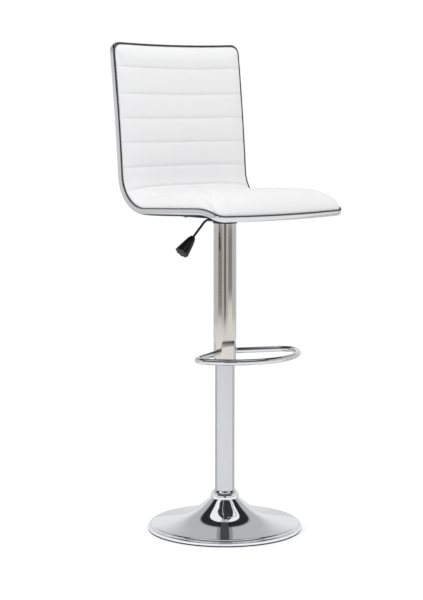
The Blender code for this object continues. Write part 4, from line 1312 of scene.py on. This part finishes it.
@dataclass
class Studio:
    """The pale floor, the soft light, the panels that the chrome mirrors, and the camera."""

    camera_place: tuple[float, float, float] = (-2.835, -3.210, 1.086)
    camera_way: tuple[float, float, float] = (0.6516, 0.7496, -0.1161)
    lens: float = 102.9
    white: float = 1.0
    floor_radius: float = 3.5
    wall_radius: float = 3.55
    panels: tuple[tuple[float, float, float, float, float], ...] = (
        (-180.0, -128.0, 0.0, 0.53, 0.74),
        (-128.0, -70.0, 0.06, 0.53, 0.72),
        (-70.0, -30.0, 0.10, 0.53, 0.30),
        (-30.0, -8.0, 0.06, 0.53, 0.60),
        (-8.0, 11.0, 0.07, 1.3, 0.17),
        (11.0, 34.0, 0.08, 0.53, 0.64),
        (34.0, 76.0, 0.18, 0.53, 0.30),
        (76.0, 128.0, 0.08, 0.53, 0.70),
        (128.0, 180.0, 0.0, 0.53, 0.74),
        (-66.0, 66.0, 1.3, 6.4, 0.12),
    )  # first and last degree from the camera's side, bottom, top, brightness
    panel_step: float = 6.0
    floor_panel: tuple[float, float] = (0.22, 3.4)
    floor_turns: tuple[float, float] = (99.0, 261.0)
    floor_lift: float = 0.001
    floor_steps: int = 24
    floor_level: float = 0.76
    wall_gap: float = 0.05
    wall_steps: int = 60
    wall_low: float = 0.53
    wall_level: float = 0.88
    wall_high: float = 6.5
    wall_fades: tuple[tuple[float, float, float], ...] = ((1.1, 2.3, 0.60), (3.3, 3.9, 0.05))
    aim: tuple[float, float, float] = (0.0, 0.0, 0.7)

    def build(self) -> None:
        """Sets up everything round the stool."""
        self.world()
        self.floor()
        self.mirrored_panels()
        self.mirrored_wall()
        self.mirrored_floor()
        self.lights()
        self.camera()
        bpy.context.scene.view_settings.view_transform = "Standard"

    def world(self) -> None:
        """Plain white light from all round."""
        world = bpy.data.worlds.new("studio")
        world.use_nodes = True
        world.node_tree.nodes["Background"].inputs["Color"].default_value = (1.0, 1.0, 1.0, 1.0)
        world.node_tree.nodes["Background"].inputs["Strength"].default_value = self.white
        bpy.context.scene.world = world

    def floor(self) -> None:
        """A round pale floor, lit so that it runs into the white round it."""
        put_down()
        bpy.ops.mesh.primitive_circle_add(vertices=96, radius=self.floor_radius, fill_type="NGON")
        floor = bpy.context.active_object
        floor.name = "floor"
        surface = Surface("pale_floor")
        surface.fixed(
            Base_Color=(0.86, 0.86, 0.865, 1.0), Roughness=0.9,
            Emission_Color=(1.0, 1.0, 1.0, 1.0), Emission_Strength=0.16,
        )
        surface.vary("Roughness", surface.noise(3.0) * 0.1 + 0.85)
        floor.data.materials.append(surface.material)

    def sheet(
        self, name: str, turns: tuple[float, float], near: Row, far: Row, steps: int
    ) -> bpy.types.Object:
        """A sheet that runs round the Z axis from one edge to another.

        Args:
            name: The sheet's name.
            turns: Where it starts and ends, in degrees from the camera's side.
            near: Radius and height of its first edge.
            far: Radius and height of its second edge.
            steps: Steps round.

        Returns:
            The sheet.
        """
        toward = math.atan2(self.camera_place[1], self.camera_place[0])
        start, end = turns

        def place(column: int, row: int, _: int) -> Vector:
            turn = toward + math.radians(start + (end - start) * column / steps)
            out, height = far if row else near
            return Vector((out * math.cos(turn), out * math.sin(turn), height))

        return formed(name, steps, 1, place)

    def mirrored_panels(self) -> None:
        """Grey and dark panels in a ring, which only reflections see."""
        out = self.wall_radius
        for number, (start, end, low, high, level) in enumerate(self.panels, 1):
            steps = max(round((end - start) / self.panel_step), 1)
            panel = self.sheet(f"mirrored_panel_{number}", (start, end), (out, low), (out, high), steps)
            self.hang(panel, self.glow(panel.name, level))

    def mirrored_wall(self) -> None:
        """A round wall behind the panels, which darkens in two steps towards its top."""
        out = self.wall_radius + self.wall_gap
        edges = (out, self.wall_low), (out, self.wall_high)
        wall = self.sheet("mirrored_wall", (0.0, 360.0), *edges, self.wall_steps)
        surface = self.glow(wall.name, self.wall_level)
        height = surface.node("ShaderNodeSeparateXYZ", None, {"Vector": surface.place()}).outputs["Z"]
        level: object = self.wall_level
        for low, high, dark in self.wall_fades:
            fade = surface.node(
                "ShaderNodeMapRange", {"interpolation_type": "SMOOTHSTEP"},
                {"Value": height, "From Min": low, "From Max": high, "To Min": 1.0, "To Max": dark},
            )
            level = Value(surface, fade.outputs[0]) * level
        surface.vary("Emission Color", level)
        self.hang(wall, surface)

    def mirrored_floor(self) -> None:
        """The floor behind the stool as reflections see it: a little greyer."""
        near, far = ((out, self.floor_lift) for out in self.floor_panel)
        panel = self.sheet("mirrored_floor", self.floor_turns, near, far, self.floor_steps)
        self.hang(panel, self.glow(panel.name, self.floor_level))

    @staticmethod
    def glow(name: str, level: float) -> Surface:
        """A surface that only gives light, of one grey level."""
        surface = Surface(name)
        surface.fixed(Base_Color=(0.0, 0.0, 0.0, 1.0), Specular_IOR_Level=0.0, Emission_Strength=1.0)
        surface.fixed(Emission_Color=(level, level, level, 1.0))
        return surface

    @staticmethod
    def hang(panel: bpy.types.Object, surface: Surface) -> None:
        """Dresses a panel and hides it from all but reflections."""
        panel.data.materials.append(surface.material)
        panel.visible_camera = False
        panel.visible_diffuse = False
        panel.visible_shadow = False
        panel.visible_transmission = False

    def lights(self) -> None:
        """A large soft light from above and a weaker one from the sitter's right."""
        self.soft_light("key_light", (-0.5, -0.3, 3.4), 2.0, 25.0)
        self.soft_light("side_light", (-3.2, -1.0, 1.6), 1.6, 1.5)

    def soft_light(
        self, name: str, place: tuple[float, float, float], size: float, power: float
    ) -> None:
        """Adds one square area light that points at the stool."""
        data = bpy.data.lights.new(name, "AREA")
        data.size = size
        data.energy = power
        lamp = bpy.data.objects.new(name, data)
        lamp.location = place
        way = Vector(self.aim) - Vector(place)
        lamp.rotation_euler = way.to_track_quat("-Z", "Y").to_euler()
        lamp.visible_glossy = False
        bpy.context.scene.collection.objects.link(lamp)

    def camera(self) -> None:
        """The camera, a little above the seat and to the sitter's right."""
        data = bpy.data.cameras.new("camera")
        data.lens = self.lens
        camera = bpy.data.objects.new("camera", data)
        camera.location = self.camera_place
        camera.rotation_euler = Vector(self.camera_way).to_track_quat("-Z", "Y").to_euler()
        bpy.context.scene.collection.objects.link(camera)
        bpy.context.scene.camera = camera


def main() -> None:
    """Builds the stool's sub-assemblies in order, then the studio."""
    logging.basicConfig(level=logging.INFO, format="%(name)s: %(message)s")
    form = SeatForm()
    dress_frame_nodes()
    for assembly in (
        TrumpetBase(), Column(), Footrest(), HeightLever(),
        SeatTrim(form), Upholstery(form), RearCovers(form),
    ):
        assembly.build()
        LOG.info("%s done", type(assembly).__name__)
    Studio().build()


if __name__ == "__main__":
    main()
